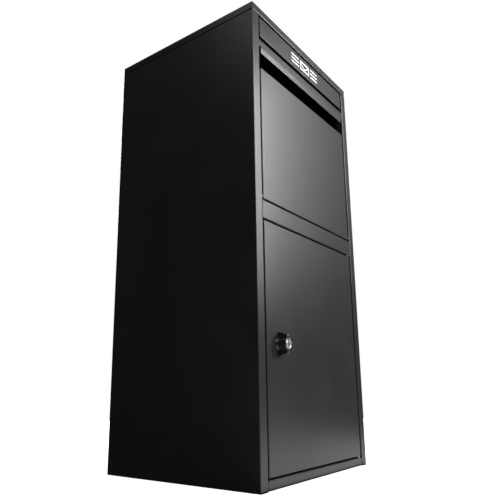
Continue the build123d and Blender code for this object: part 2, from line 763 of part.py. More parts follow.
def stop_buffer_bolt():
    """Bolt through a stop buffer and its cheek."""
    y, z = stop_buffer_place()
    end = OPENING + STOP_BUFFER_LAP
    inner = PANEL_SIDE - 2 * SHEET
    start = inner - BUFFER_BOLT_HEAD
    bolt = bar_x(BUFFER_CORE_RADIUS, start, end, y, z)
    bolt += bar_x(BUFFER_BOLT_HEAD_RADIUS, end, end + BUFFER_BOLT_HEAD, y, z)
    return bolt + bar_x(BUFFER_BOLT_HEAD_RADIUS, start, inner, y, z)


def hopper_pivot_stud():
    """Shoulder stud fixed in the right jamb; the hopper turns on it."""
    inner = PANEL_SIDE - 2 * SHEET - STUD_REACH
    end = OPENING + SHEET + NUT_THICKNESS + THREAD_END
    stud = bar_x(STUD_RADIUS, inner, OPENING, HOPPER_AXIS_Y, HOPPER_AXIS_Z)
    stud += bar_x(STUD_THREAD_RADIUS, OPENING, end, HOPPER_AXIS_Y, HOPPER_AXIS_Z)
    shoulder = (PANEL_SIDE + PAD_GAP, OPENING)
    return stud + bar_x(STUD_SHOULDER_RADIUS, *shoulder, HOPPER_AXIS_Y, HOPPER_AXIS_Z)


def pivot_stud_nut():
    """Nut of the right pivot stud, inside the hollow stile."""
    start = OPENING + SHEET
    end = start + NUT_THICKNESS
    nut = hex_bar_x(STUD_NUT_ACROSS_FLATS, start, end, HOPPER_AXIS_Y, HOPPER_AXIS_Z)
    return nut - bar_x(STUD_THREAD_RADIUS, start, end, HOPPER_AXIS_Y, HOPPER_AXIS_Z)


def hopper_rest_bracket():
    """Bracket on the right jamb behind the closed hopper."""
    rear_y = PANEL_FACE + HOPPER_FLANGE + PAD_GAP + PAD_THICKNESS + SHEET
    z0 = HOPPER_TOP - REST_BRACKET_DROP
    z1 = z0 + REST_BRACKET_HEIGHT
    return stop_angle(REST_BRACKET_REACH - SHEET, REST_BRACKET_REACH, rear_y, z0, z1)


def hopper_rest_pad():
    """Rubber pad on the right rest bracket."""
    start = PANEL_FACE + HOPPER_FLANGE + PAD_GAP
    z = HOPPER_TOP - REST_BRACKET_DROP + REST_BRACKET_HEIGHT / 2
    return bar_y(PAD_RADIUS, PANEL_SIDE - SHEET / 2, start, start + PAD_THICKNESS, z)


def parcel_baffle():
    """Fixed sloping plate behind the hopper that blocks a reach to the store."""
    y, z = baffle_front()
    back = BACK_INNER - FIT
    bend_z = baffle_back_height()
    path = [(y, z), (back, bend_z), (back, bend_z + BAFFLE_FLANGE)]
    baffle = folded_across(path, SHEET, WALL - BAFFLE_SIDE_GAP)
    for x, rivet_z_place in baffle_rivet_places():
        baffle -= bar_y(RIVET_HOLE, x, back - 2 * SHEET, BACK, rivet_z_place)
    return baffle


# ---------------------------------------------------------------- door
def door_panel():
    """Door with four returns, two pivot bores and the lock hole."""
    back = PANEL_FACE + DOOR_FLANGE
    panel = pan(PANEL_SIDE, PANEL_FACE, back, DOOR_BOTTOM, DOOR_TOP)
    bore = PIVOT_RADIUS + PIN_CLEARANCE
    panel -= bar_z(bore, DOOR_AXIS_X, DOOR_AXIS_Y, 0, HEIGHT)
    hole = LOCK_BODY_RADIUS + LOCK_HOLE_CLEARANCE
    return panel - bar_y(hole, LOCK_X, FRONT, PANEL_INNER + SHEET, LOCK_HEIGHT)


def door_stiffener():
    """Hat section spot-welded up the back of the door."""
    centre = STIFFENER_OFFSET
    web = STIFFENER_WIDTH / 2
    foot = web + STIFFENER_FOOT
    rise = PANEL_INNER + STIFFENER_DEPTH
    path = [
        (centre - foot, PANEL_INNER),
        (centre - web, PANEL_INNER),
        (centre - web, rise),
        (centre + web, rise),
        (centre + web, PANEL_INNER),
        (centre + foot, PANEL_INNER),
    ]
    z0 = DOOR_BOTTOM + STIFFENER_INSET
    length = DOOR_TOP - STIFFENER_INSET - z0
    return Pos(0, 0, z0) * bent_sheet(path, STIFFENER_SHEET, length)


def door_pivot_pins():
    """Lower and upper pins, headed inside the rails."""
    x, y = DOOR_AXIS_X, DOOR_AXIS_Y
    low_head = BOTTOM_RAIL_TOP - SHEET
    low = bar_z(PIVOT_RADIUS, x, y, low_head, DOOR_BOTTOM + SHEET + PIVOT_REACH)
    low += bar_z(PIVOT_HEAD_RADIUS, x, y, low_head - PIVOT_HEAD, low_head)
    high_head = MID_RAIL_BOTTOM + SHEET
    high = bar_z(PIVOT_RADIUS, x, y, DOOR_TOP - SHEET - PIVOT_REACH, high_head)
    high += bar_z(PIVOT_HEAD_RADIUS, x, y, high_head, high_head + PIVOT_HEAD)
    return Compound(children=[low, high])


def door_pivot_washers():
    """Steel washers that space the door from the rails."""
    x, y = DOOR_AXIS_X, DOOR_AXIS_Y
    spans = (
        (BOTTOM_RAIL_TOP, DOOR_BOTTOM - WASHER_GAP),
        (DOOR_TOP + WASHER_GAP, MID_RAIL_BOTTOM),
    )
    bore = PIVOT_RADIUS + PIN_CLEARANCE
    rings = [bar_z(WASHER_RADIUS, x, y, *span) - bar_z(bore, x, y, *span) for span in spans]
    return Compound(children=rings)


def door_stop_angle():
    """Angle on the left jamb that the closed door rests against."""
    z0 = BOTTOM_RAIL_TOP + STOP_END
    z1 = MID_RAIL_BOTTOM - STOP_END
    return other_side(stop_angle(STOP_LEG, STOP_REACH, FRONT + STOP_SETBACK, z0, z1))


def door_buffers():
    """Rubber pads on the stop angle, behind the door's left return."""
    x = -PANEL_SIDE + SHEET / 2
    start = PANEL_FACE + DOOR_FLANGE + PAD_GAP
    end = FRONT + STOP_SETBACK - SHEET
    low = DOOR_BOTTOM + 2 * STOP_END
    high = DOOR_TOP - 2 * STOP_END
    return Compound(children=[bar_y(PAD_RADIUS, x, start, end, z) for z in (low, high)])


# ---------------------------------------------------------------- lock
BODY_END = PANEL_FACE + BODY_LENGTH
COLLAR_START = BODY_END + COLLAR_GAP
CAM_START = COLLAR_START + COLLAR_THICKNESS
CAM_END = CAM_START + CAM_THICKNESS
KNOB_BACK = PANEL_FACE - ROSETTE_THICKNESS - ROSETTE_RING - KNOB_GAP
KNOB_FRONT = KNOB_BACK - KNOB_LENGTH
BEZEL_FRONT = KNOB_FRONT - BEZEL_PROUD
BEZEL_BACK = BEZEL_FRONT + BEZEL_LENGTH
SPINDLE_FRONT = BEZEL_BACK + SHEET


def lock_bar(radius, y0, y1):
    """Round bar on the lock's axis."""
    return bar_y(radius, LOCK_X, y0, y1, LOCK_HEIGHT)


def lock_body():
    """Rosette, ring and threaded barrel, bored for the spindle."""
    ring_front = PANEL_FACE - ROSETTE_THICKNESS - ROSETTE_RING
    body = lock_bar(ROSETTE_RADIUS, PANEL_FACE - ROSETTE_THICKNESS, PANEL_FACE)
    body += lock_bar(ROSETTE_RING_RADIUS, ring_front, PANEL_FACE - ROSETTE_THICKNESS)
    body += lock_bar(LOCK_BODY_RADIUS, PANEL_FACE, BODY_END)
    return body - lock_bar(SPINDLE_RADIUS + TURN_CLEARANCE, ring_front, BODY_END)


def lock_washer():
    """Washer between the door and the lock nut."""
    span = (PANEL_INNER, PANEL_INNER + LOCK_WASHER_THICKNESS)
    hole = LOCK_BODY_RADIUS + LOCK_HOLE_CLEARANCE
    return lock_bar(LOCK_WASHER_RADIUS, *span) - lock_bar(hole, *span)


def lock_nut():
    """Hexagonal nut on the barrel, behind the door."""
    start = PANEL_INNER + LOCK_WASHER_THICKNESS
    end = start + LOCK_NUT_THICKNESS
    outline = RegularPolygon(LOCK_NUT_ACROSS_FLATS / 2, 6, major_radius=False)
    nut = Pos(LOCK_X, end, LOCK_HEIGHT) * Rot(90, 0, 0) * extrude(outline, end - start)
    return nut - lock_bar(LOCK_BODY_RADIUS, start, end)


def lock_knob():
    """Upright wing grip with a round boss, bored for the key cylinder."""
    knob = lock_bar(KNOB_BOSS_RADIUS, KNOB_FRONT, KNOB_BACK)
    corners = [
        (KNOB_BACK, -KNOB_BASE_SPAN / 2),
        (KNOB_BACK, KNOB_BASE_SPAN / 2),
        (KNOB_FRONT, KNOB_TIP_SPAN / 2),
        (KNOB_FRONT, -KNOB_TIP_SPAN / 2),
    ]
    side_view = make_face(Polyline(*corners, close=True))
    wing = Plane.YZ * extrude(side_view, KNOB_WING / 2, dir=(0, 0, 1), both=True)
    wing = fillet(wing.edges().filter_by(Axis.X).group_by(Axis.Y)[0], KNOB_TIP_ROUND)
    wing = fillet(wing.edges().filter_by(Axis.X).group_by(Axis.Y)[-1], KNOB_BASE_ROUND)
    knob += Pos(LOCK_X, 0, LOCK_HEIGHT) * wing
    knob -= lock_bar(BEZEL_RADIUS, KNOB_FRONT, BEZEL_BACK)
    return knob - lock_bar(SPINDLE_RADIUS + TURN_CLEARANCE, SPINDLE_FRONT, KNOB_BACK)


def cylinder_bezel():
    """Steel sleeve of the key cylinder, pressed into the knob."""
    sleeve = lock_bar(BEZEL_RADIUS, BEZEL_FRONT, BEZEL_BACK)
    return sleeve - lock_bar(PLUG_RADIUS + TURN_CLEARANCE, BEZEL_FRONT, BEZEL_BACK)


def key_plug():
    """Steel plug with a key slot."""
    face = BEZEL_FRONT + PLUG_SETBACK
    plug = lock_bar(PLUG_RADIUS, face, BEZEL_BACK)
    half = KEY_SLOT_WIDTH / 2
    return plug - slab(
        LOCK_X - half,
        LOCK_X + half,
        face,
        face + KEY_SLOT_DEPTH,
        LOCK_HEIGHT - KEY_SLOT_HEIGHT / 2,
        LOCK_HEIGHT + KEY_SLOT_HEIGHT / 2,
    )


def square_bar(side, y0, y1):
    """Square bar on the lock's axis."""
    half = side / 2
    low, high = LOCK_HEIGHT - half, LOCK_HEIGHT + half
    return slab(LOCK_X - half, LOCK_X + half, y0, y1, low, high)


def lock_spindle():
    """Spindle from the knob through the barrel, with a collar and a square end."""
    spindle = lock_bar(SPINDLE_RADIUS, SPINDLE_FRONT, COLLAR_START)
    spindle += lock_bar(COLLAR_RADIUS, COLLAR_START, CAM_START)
    spindle += square_bar(SQUARE, CAM_START, CAM_END - SQUARE_CLEARANCE)
    return spindle - lock_bar(CAM_SCREW_RADIUS, CAM_END - CAM_SCREW_LENGTH, CAM_END)


def lock_cam():
    """Cam that hangs down when the door is unlocked and turns behind the jamb."""
    half = CAM_WIDTH / 2
    blade = slab(
        LOCK_X - half,
        LOCK_X + half,
        CAM_START,
        CAM_END,
        LOCK_HEIGHT - CAM_LENGTH,
        LOCK_HEIGHT,
    )
    blade = fillet(blade.edges().filter_by(Axis.Y).group_by(Axis.Z)[0], CAM_ROUND)
    cam = blade + lock_bar(half, CAM_START, CAM_END)
    return cam - square_bar(SQUARE + 2 * SQUARE_CLEARANCE, CAM_START, CAM_END)


def cam_screw():
    """Screw and its wide head, holding the cam on the spindle."""
    screw = lock_bar(CAM_SCREW_RADIUS, CAM_END - CAM_SCREW_LENGTH, CAM_END)
    return screw + lock_bar(CAM_SCREW_HEAD_RADIUS, CAM_END, CAM_END + CAM_SCREW_HEAD)


# ---------------------------------------------------------------- fixings
def both_sides(shapes):
    """Solids of the right side and their mirror images, as one node."""
    return Compound(children=shapes + [other_side(shape) for shape in shapes])


def back_rivets():
    """Rivets through the rear flanges and the back panel."""
    return both_sides([rivet_y(x, BACK, BACK_INNER, z) for x, z in back_rivet_places()])


def rail_rivets():
    """Rivets through the rails' end tabs and the jambs."""
    head = RAIL_SIDE - SHEET
    tail = OPENING + SHEET
    return both_sides([rivet_x(head, tail, y, z) for y, z in rail_rivet_places()])


def baffle_rivets():
    """Rivets through the back panel and the baffle's flange."""
    tail = BACK_INNER - FIT - SHEET
    places = baffle_rivet_places()
    return Compound(children=[rivet_y(x, BACK - SHEET, tail, z) for x, z in places])


def roof_screws():
    """Screws up through the top flanges into the cap's returns."""
    seat = BODY_TOP - SHEET
    end = CAP_BOTTOM + SHEET + NUT_THICKNESS + THREAD_END
    shapes = []
    for x, y in roof_screw_places():
        screw = bar_z(SCREW_RADIUS, x, y, seat, end)
        shapes.append(screw + bar_z(SCREW_HEAD_RADIUS, x, y, seat - SCREW_HEAD, seat))
    return both_sides(shapes)


def roof_nuts():
    """Nuts of the roof screws, on the cap's returns."""
    start = CAP_BOTTOM + SHEET
    outline = RegularPolygon(ROOF_NUT_ACROSS_FLATS / 2, 6, major_radius=False)
    shapes = []
    for x, y in roof_screw_places():
        nut = Pos(x, y, start) * extrude(outline, NUT_THICKNESS)
        shapes.append(nut - bar_z(SCREW_RADIUS, x, y, start, start + NUT_THICKNESS))
    return both_sides(shapes)


# ---------------------------------------------------------------- export
NODES = {
    "right_side_panel": right_side_panel(),
    "left_side_panel": other_side(right_side_panel()),
    "back_panel": back_panel(),
    "base_plate": base_plate(),
    "roof_cap": roof_cap(),
    "roof_seal": roof_seal(),
    "upper_rail": upper_rail(),
    "mid_rail": mid_rail(),
    "bottom_rail": bottom_rail(),
    "parcel_baffle": parcel_baffle(),
    "door_stop_angle": door_stop_angle(),
    "door_buffers": door_buffers(),
    "hopper_rest_brackets": pair(hopper_rest_bracket()),
    "hopper_rest_pads": pair(hopper_rest_pad()),
    "hopper_pivot_studs": pair(hopper_pivot_stud()),
    "pivot_stud_nuts": pair(pivot_stud_nut()),
    "flap_hinge_rod": flap_hinge_rod(),
    "rod_end_caps": pair(rod_end_cap()),
    "door_pivot_pins": door_pivot_pins(),
    "door_pivot_washers": door_pivot_washers(),
    "back_rivets": back_rivets(),
    "rail_rivets": rail_rivets(),
    "baffle_rivets": baffle_rivets(),
    "roof_screws": roof_screws(),
    "roof_nuts": roof_nuts(),
    "letter_flap": letter_flap(),
    "hopper_panel": hopper_panel(),
    "right_cheek": right_cheek(),
    "left_cheek": other_side(right_cheek()),
    "chute_plate": chute_plate(),
    "hopper_rivets": hopper_rivets(),
    "stop_buffers": pair(stop_buffer()),
    "stop_buffer_bolts": pair(stop_buffer_bolt()),
    "door_panel": door_panel(),
    "door_stiffener": door_stiffener(),
    "lock_body": lock_body(),
    "lock_washer": lock_washer(),
    "lock_nut": lock_nut(),
    "lock_knob": lock_knob(),
    "cylinder_bezel": cylinder_bezel(),
    "lock_spindle": lock_spindle(),
    "lock_cam": lock_cam(),
    "cam_screw": cam_screw(),
    "key_plug": key_plug(),
}

os.makedirs("parts", exist_ok=True)
for name, shape in NODES.items():
    export_step(shape, f"parts/{name}.step")
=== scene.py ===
import math

import bmesh
import bpy
from mathutils import Matrix, Vector


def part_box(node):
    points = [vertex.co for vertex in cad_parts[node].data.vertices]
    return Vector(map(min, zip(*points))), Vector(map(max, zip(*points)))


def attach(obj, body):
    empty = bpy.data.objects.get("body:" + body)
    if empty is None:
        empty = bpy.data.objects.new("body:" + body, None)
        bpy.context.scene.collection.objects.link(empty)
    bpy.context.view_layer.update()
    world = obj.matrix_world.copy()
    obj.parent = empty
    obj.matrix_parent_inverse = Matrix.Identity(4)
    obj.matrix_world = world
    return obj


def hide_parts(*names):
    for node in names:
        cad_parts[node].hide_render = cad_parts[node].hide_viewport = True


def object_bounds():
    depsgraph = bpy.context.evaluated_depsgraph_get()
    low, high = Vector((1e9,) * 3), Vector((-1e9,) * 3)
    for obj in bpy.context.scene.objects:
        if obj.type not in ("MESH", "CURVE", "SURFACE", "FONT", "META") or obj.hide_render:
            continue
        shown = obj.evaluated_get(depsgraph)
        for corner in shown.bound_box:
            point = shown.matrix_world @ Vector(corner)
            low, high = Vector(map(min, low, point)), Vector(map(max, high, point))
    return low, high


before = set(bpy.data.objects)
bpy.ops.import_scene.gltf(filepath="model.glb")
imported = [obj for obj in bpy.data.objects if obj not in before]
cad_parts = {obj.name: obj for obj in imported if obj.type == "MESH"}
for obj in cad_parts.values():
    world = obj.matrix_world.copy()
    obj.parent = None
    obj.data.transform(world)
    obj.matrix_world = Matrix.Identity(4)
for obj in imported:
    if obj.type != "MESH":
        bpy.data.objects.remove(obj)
cad_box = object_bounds()

# ---------------------------------------------------------------- side walls
# Each side wall is one sheet of 1.2 mm steel, folded in front into a stile with its jamb,
# behind and on top into a flange. All folding is done before the black powder coat goes on.
SHEET = 0.0012
BEND = 0.0008  # inside radius of every fold
BEND_STEPS = 6
JAMB_DEPTH = 0.024
REAR_FLANGE = 0.015
TOP_FLANGE = 0.020
TOP_DROP = 0.010  # how far the turned top reaches down inside the wall
TOP_BEND = 0.0004
TOP_ROOM = 0.0036  # keeps the turned top clear of the back panel's own flange
EASED_EDGE = 0.00016  # how far the coat rounds a sheared edge
SHARP = math.radians(40)  # a steeper turn counts as an edge
MERGE = 0.000001  # points nearer than this become one
NOISE_SPAN = (0.3, 0.7)  # where nearly all of a noise lies
COAT_DARK = (0.0135, 0.0135, 0.014)
COAT_LIGHT = (0.019, 0.019, 0.0195)
UPRIGHT = Matrix.Identity(4)
LENGTHWISE = Matrix(((1, 0, 0, 0), (0, 0, 1, 0), (0, 1, 0, 0), (0, 0, 0, 1)))


def rounded_line(points, radii):
    """Open line of flat points with each inner corner turned into an arc."""
    corners = [Vector(point) for point in points]
    line = [corners[0]]
    for before, corner, after, radius in zip(corners, corners[1:], corners[2:], radii):
        if radius == 0:
            line.append(corner)
            continue
        to_before = (before - corner).normalized()
        to_after = (after - corner).normalized()
        half = to_before.angle(to_after) / 2
        centre = corner + (to_before + to_after).normalized() * radius / math.sin(half)
        arm = corner + to_before * radius / math.tan(half) - centre
        far_arm = corner + to_after * radius / math.tan(half) - centre
        sweep = math.atan2(arm.x * far_arm.y - arm.y * far_arm.x, arm.dot(far_arm))
        for i in range(BEND_STEPS + 1):
            line.append(centre + Matrix.Rotation(sweep * i / BEND_STEPS, 2) @ arm)
    line.append(corners[-1])
    return line


def sheet_section(points, thickness=SHEET, bend=BEND):
    """Closed outline of a folded sheet lying on the left of a path."""
    path = [Vector(point) for point in points]
    ways = [(after - before).normalized() for before, after in zip(path, path[1:])]
    sides = [Vector((-way.y, way.x)) for way in ways]
    inner = [path[0] + sides[0] * thickness]
    near_radii = []
    far_radii = []
    for i in range(1, len(path) - 1):
        mitre = (sides[i - 1] + sides[i]) / (1 + sides[i - 1].dot(sides[i]))
        inner.append(path[i] + mitre * thickness)
        turns_left = sides[i - 1].dot(ways[i]) > 0
        near_radii.append(bend + thickness if turns_left else bend)
        far_radii.append(bend if turns_left else bend + thickness)
    inner.append(path[-1] + sides[-1] * thickness)
    return rounded_line(path, near_radii) + rounded_line(inner, far_radii)[::-1]


def around(count):
    """Each place in a closed ring with the next one."""
    return [(i, (i + 1) % count) for i in range(count)]


def add_rings(bm, rings, capped=True):
    """Skin rings of equally many points, and close both ends."""
    loops = [[bm.verts.new(point) for point in ring] for ring in rings]
    for loop, following in zip(loops, loops[1:]):
        for i, j in around(len(loop)):
            bm.faces.new((loop[i], loop[j], following[j], following[i]))
    if capped:
        bm.faces.new(loops[0])
        bm.faces.new(loops[-1])


def carried(outline, start, end, place, bm=None):
    """A flat outline carried from start to end along the third axis of a place."""
    if bm is None:
        bm = bmesh.new()
    ends = (start, end)
    add_rings(bm, [[place @ Vector((*point, along)) for point in outline] for along in ends])
    return bm


def mesh_object(name, bm):
    """Bare object of a mesh, with its faces turned outward."""
    bmesh.ops.recalc_face_normals(bm, faces=bm.faces)
    mesh = bpy.data.meshes.new(name)
    bm.to_mesh(mesh)
    bm.free()
    obj = bpy.data.objects.new(name, mesh)
    bpy.context.scene.collection.objects.link(obj)
    return obj


def worked(obj):
    """The mesh that an object's modifiers leave; the object itself is dropped."""
    bm = bmesh.new()
    bm.from_mesh(obj.evaluated_get(bpy.context.evaluated_depsgraph_get()).data)
    bpy.data.objects.remove(obj)
    return bm


def combined(bm, tools, operation):
    """A mesh with tool meshes welded to it or cut out of it."""
    body = mesh_object("body", bm)
    helpers = [mesh_object("tool", tool) for tool in tools]
    for helper in helpers:
        step = body.modifiers.new("step", "BOOLEAN")
        step.object = helper
        step.operation = operation
        step.solver = "EXACT"
    result = worked(body)
    bmesh.ops.remove_doubles(result, verts=result.verts, dist=MERGE)
    for helper in helpers:
        bpy.data.objects.remove(helper)
    return result


def welded(*meshes):
    """Several overlapping meshes as one skin."""
    return combined(meshes[0], meshes[1:], "UNION")


def piece(name, bm, eased=EASED_EDGE):
    """Finished object: sheared edges eased, flats kept flat."""
    obj = mesh_object(name, bm)
    obj.data.shade_smooth()
    if eased:
        edges = obj.modifiers.new("eased_edges", "BEVEL")
        edges.width = eased
        edges.segments = 2
        edges.limit_method = "ANGLE"
        edges.angle_limit = SHARP
    flats = obj.modifiers.new("flats", "WEIGHTED_NORMAL")
    flats.weight = 100
    return obj


def other_side(obj, name):
    """The same piece made for the opposite side of the box."""
    mesh = obj.data.copy()
    mesh.name = name
    mesh.transform(Matrix.Scale(-1, 4, Vector((1, 0, 0))))
    mesh.flip_normals()
    twin = obj.copy()
    twin.name = name
    twin.data = mesh
    bpy.context.scene.collection.objects.link(twin)
    return twin


def fit(obj, body, coating, *nodes):
    """Finish a piece, fix it to its body and let it stand for its CAD nodes."""
    material, slot = coating
    obj.data.materials.clear()
    obj.data.materials.append(material)
    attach(obj, body)
    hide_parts(*nodes)


def finish(name, roughness, metallic=0.0):
    """Empty node material with its own roughness and metal set on the shader."""
    material = bpy.data.materials.new(name)
    material.use_nodes = True
    shader = material.node_tree.nodes["Principled BSDF"]
    shader.inputs["Roughness"].default_value = roughness
    shader.inputs["Metallic"].default_value = metallic
    return material


def drive(material, socket, value):
    """Let a value set one of the shader's sockets."""
    shader = material.node_tree.nodes["Principled BSDF"]
    material.node_tree.links.new(value, shader.inputs[socket])


def grain(material, waves, detail=2.0):
    """Noise fixed to the piece, with so many waves per metre."""
    place = material.node_tree.nodes.new("ShaderNodeTexCoord")
    noise = material.node_tree.nodes.new("ShaderNodeTexNoise")
    noise.inputs["Scale"].default_value = waves
    noise.inputs["Detail"].default_value = detail
    material.node_tree.links.new(place.outputs["Object"], noise.inputs["Vector"])
    return noise.outputs["Fac"]


def spread(material, value, low=0.0, high=1.0):
    """The middle span of a noise, widened to run from low to high."""
    node = material.node_tree.nodes.new("ShaderNodeMapRange")
    node.inputs["From Min"].default_value = NOISE_SPAN[0]
    node.inputs["From Max"].default_value = NOISE_SPAN[1]
    node.inputs["To Min"].default_value = low
    node.inputs["To Max"].default_value = high
    material.node_tree.links.new(value, node.inputs["Value"])
    return node.outputs["Result"]


def tint(material, value, first, second):
    """Colour that varies between two tints."""
    node = material.node_tree.nodes.new("ShaderNodeMix")
    node.data_type = "RGBA"
    node.inputs["A"].default_value = (*first, 1)
    node.inputs["B"].default_value = (*second, 1)
    material.node_tree.links.new(value, node.inputs["Factor"])
    drive(material, "Base Color", node.outputs["Result"])


def relief(material, value, height, below=None):
    """Raised texture of a height in metres, on top of another if one is given."""
    node = material.node_tree.nodes.new("ShaderNodeBump")
    node.inputs["Distance"].default_value = height
    links = material.node_tree.links
    links.new(value, node.inputs["Height"])
    if below:
        links.new(below, node.inputs["Normal"])
    drive(material, "Normal", node.outputs["Normal"])
    return node.outputs["Normal"]


def powder_coat():
    """Fine-textured satin black: an orange peel of about 2 mm with a fine grit on it."""
    material = finish("powder_coat", 0.31)
    cloud = grain(material, waves=9.0, detail=3.0)
    tint(material, spread(material, cloud), COAT_DARK, COAT_LIGHT)
    grit = grain(material, waves=2600.0, detail=3.0)
    drive(material, "Roughness", spread(material, grit, 0.27, 0.35))
    peel = relief(material, grain(material, waves=420.0), height=0.00005)
    relief(material, grit, height=0.00002, below=peel)
    return material


POWDER = "powder_coated_steel"
COAT = (powder_coat(), POWDER)

side_low, side_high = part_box("right_side_panel")
opening = side_low.x
side = side_high.x
front = side_low.y
back = side_high.y
wall_path = [
    (opening, front + JAMB_DEPTH),
    (opening, front),
    (side, front),
    (side, back),
    (side - REAR_FLANGE, back),
]
wall = carried(sheet_section(wall_path), 0, side_high.z, UPRIGHT)
within = side - SHEET / 2  # inside the wall's sheet, so that wall and top fuse
top_path = [(within, side_high.z - TOP_DROP), (within, side_high.z), (side - TOP_FLANGE, side_high.z)]
top_section = sheet_section(top_path, SHEET, TOP_BEND)
top_end = back - TOP_FLANGE - TOP_ROOM
wall_top = carried(top_section, front + SHEET / 2, top_end, LENGTHWISE)
right_wall = piece("right_wall", welded(wall, wall_top))
fit(right_wall, "cabinet", COAT, "right_side_panel")
fit(other_side(right_wall, "left_wall"), "cabinet", COAT, "left_side_panel")

# ---------------------------------------------------------------- back panel
# A flat sheet with a top flange, held inside the rear flanges by twelve domed blind rivets.
# The four plain holes near its corners take the wall screws.
RIVET_DOME = 0.0010
RIVET_RIM = 0.00015
RIVET_UNDERCUT = 0.000102  # a head is narrower by this on its underside
RIVET_SHANK = 0.0016
RIVET_TAIL = 0.0014  # length of the crushed tail
TAIL_BULB = 0.0023
TAIL_END = 0.00161
TAIL_ROUND = 0.00042
TAIL_SHOULDER = 0.00112
MANDREL = 0.0009
MANDREL_FLOOR = 0.00072
MANDREL_DEPTH = 0.0006
DOME_ARC = 75  # degrees from a dome's rim to the flat on its top
DOME_STEPS = 5
TURN_STEPS = 40
TOUCH = 0.00001  # corners nearer than this belong to one solid
ZINC_COOL = (0.50, 0.51, 0.52)
ZINC_WARM = (0.63, 0.62, 0.59)


def dress(node, coating):
    """Give a CAD node its finish."""
    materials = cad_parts[node].data.materials
    materials.clear()
    materials.append(coating[0])


def solids(node):
    """Lowest and highest corner of each separate solid of a CAD node, in order."""
    bm = bmesh.new()
    bm.from_mesh(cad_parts[node].data)
    bmesh.ops.remove_doubles(bm, verts=bm.verts, dist=TOUCH)
    unseen = set(bm.verts)
    boxes = []
    while unseen:
        found = [unseen.pop()]
        for vert in found:
            near = {edge.other_vert(vert) for edge in vert.link_edges} & unseen
            unseen -= near
            found.extend(near)
        spans = [(min(v.co[i] for v in found), max(v.co[i] for v in found)) for i in range(3)]
        boxes.append((Vector(s[0] for s in spans), Vector(s[1] for s in spans)))
    bm.free()
    return sorted(boxes, key=lambda ends: tuple(round(value, 5) for value in ends[0]))


def pointing(base, way):
    """Place whose third axis runs from base along a direction."""
    return Matrix.Translation(base) @ Vector(way).to_track_quat("Z", "Y").to_matrix().to_4x4()


def turned(profile, place, steps=TURN_STEPS, bm=None):
    """Round mesh: (radius, height) points turned about the third axis of a place."""
    if bm is None:
        bm = bmesh.new()
    angles = [2 * math.pi * i / steps for i in range(steps)]
    loops = []
    for radius, height in profile:
        ways = angles if radius > 0 else angles[:1]
        points = [Vector((radius * math.cos(a), radius * math.sin(a), height)) for a in ways]
        loops.append([bm.verts.new(place @ point) for point in points])
    if profile[0][0] > 0:
        loops.append(loops[0])
    for loop, following in zip(loops, loops[1:]):
        for i, j in around(steps):
            corners = (loop[i % len(loop)], loop[j % len(loop)])
            corners += (following[j % len(following)], following[i % len(following)])
            bm.faces.new(dict.fromkeys(corners))
    return bm


def round_pieces(name, node, body, coating, way_of, profile_of, steps=TURN_STEPS):
    """Turned pieces, each as long and wide as a solid of a CAD node; way_of aims them."""
    bm = bmesh.new()
    for low, high in solids(node):
        middle = (low + high) / 2
        way = Vector(way_of(middle))
        size = high - low
        length = abs(size.dot(way))
        radius = (size.z if way.x else size.x) / 2
        turned(profile_of(length, radius), pointing(middle - way * length / 2, way), steps, bm)
    fit(piece(name, bm, None), body, coating, node)


def dome(radius, seat, height, rim=0.0):
    """Profile of a domed head that stands on a seat, with an upright rim below its dome."""
    turns = [math.radians(DOME_ARC * i / DOME_STEPS) for i in range(DOME_STEPS + 1)]
    return [(radius * math.cos(a), seat + rim + (height - rim) * math.sin(a)) for a in turns]


def rivet_profile(length, radius):
    """Blind rivet with its crushed tail at the base and its dome at the end."""
    seat = length - RIVET_DOME
    floor_level = length - MANDREL_DEPTH
    tail = [(0, 0), (TAIL_END, 0), (TAIL_BULB, TAIL_ROUND), (TAIL_BULB, TAIL_SHOULDER)]
    shank = [(RIVET_SHANK, RIVET_TAIL), (RIVET_SHANK, seat), (radius - RIVET_UNDERCUT, seat)]
    mandrel = [(MANDREL, length), (MANDREL_FLOOR, floor_level), (0, floor_level)]
    return tail + shank + dome(radius, seat, RIVET_DOME, RIVET_RIM) + mandrel


def zinc():
    """Bright zinc plate: cool grey metal with a faint patchy passivation."""
    material = finish("zinc_plate", 0.34, metallic=1.0)
    patch = grain(material, waves=140.0, detail=3.0)
    tint(material, spread(material, patch), ZINC_COOL, ZINC_WARM)
    drive(material, "Roughness", spread(material, patch, 0.28, 0.42))
    relief(material, grain(material, waves=1800.0), height=0.00001)
    return material


ZINC = (zinc(), "zinc_plated_steel")


def rivets(name, node, body, way_of):
    """All rivets of a CAD node; way_of gives the side that a rivet's dome is on."""
    round_pieces(name, node, body, ZINC, way_of, rivet_profile)


def to_back(middle):
    """Every such piece points to the back."""
    return (0, 1, 0)


dress("back_panel", COAT)
rivets("back_blind_rivets", "back_rivets", "cabinet", to_back)

# ---------------------------------------------------------------- base tray
# A tray with upturned flanges stands between the walls. Its four holes take floor anchors,
# and it has the same coat as the walls.
dress("base_plate", COAT)

# ---------------------------------------------------------------- rails
# Three folded rails tie the stiles together: under the letter slot, between hopper and door,
# and under the door. Each has tabs folded back at its ends, riveted to the jambs.
RAIL_FLANGE = 0.014
RAIL_TAB = 0.0146  # depth of the tab behind a rail's face
RAIL_SETBACK = 0.0006  # the lowest rail's foot stops this short of the jambs' depth
FOLD = BEND + SHEET  # outside radius of a fold
LAP = 0.0004  # overlap of two meshes before they are welded
ACROSS = Matrix(((0, 0, 1, 0), (1, 0, 0, 0), (0, 1, 0, 0), (0, 0, 0, 1)))


def mirrored(bm):
    """The same mesh for the opposite side of the box."""
    twin = bm.copy()
    bmesh.ops.transform(twin, matrix=Matrix.Scale(-1, 4, Vector((1, 0, 0))), verts=twin.verts)
    return twin


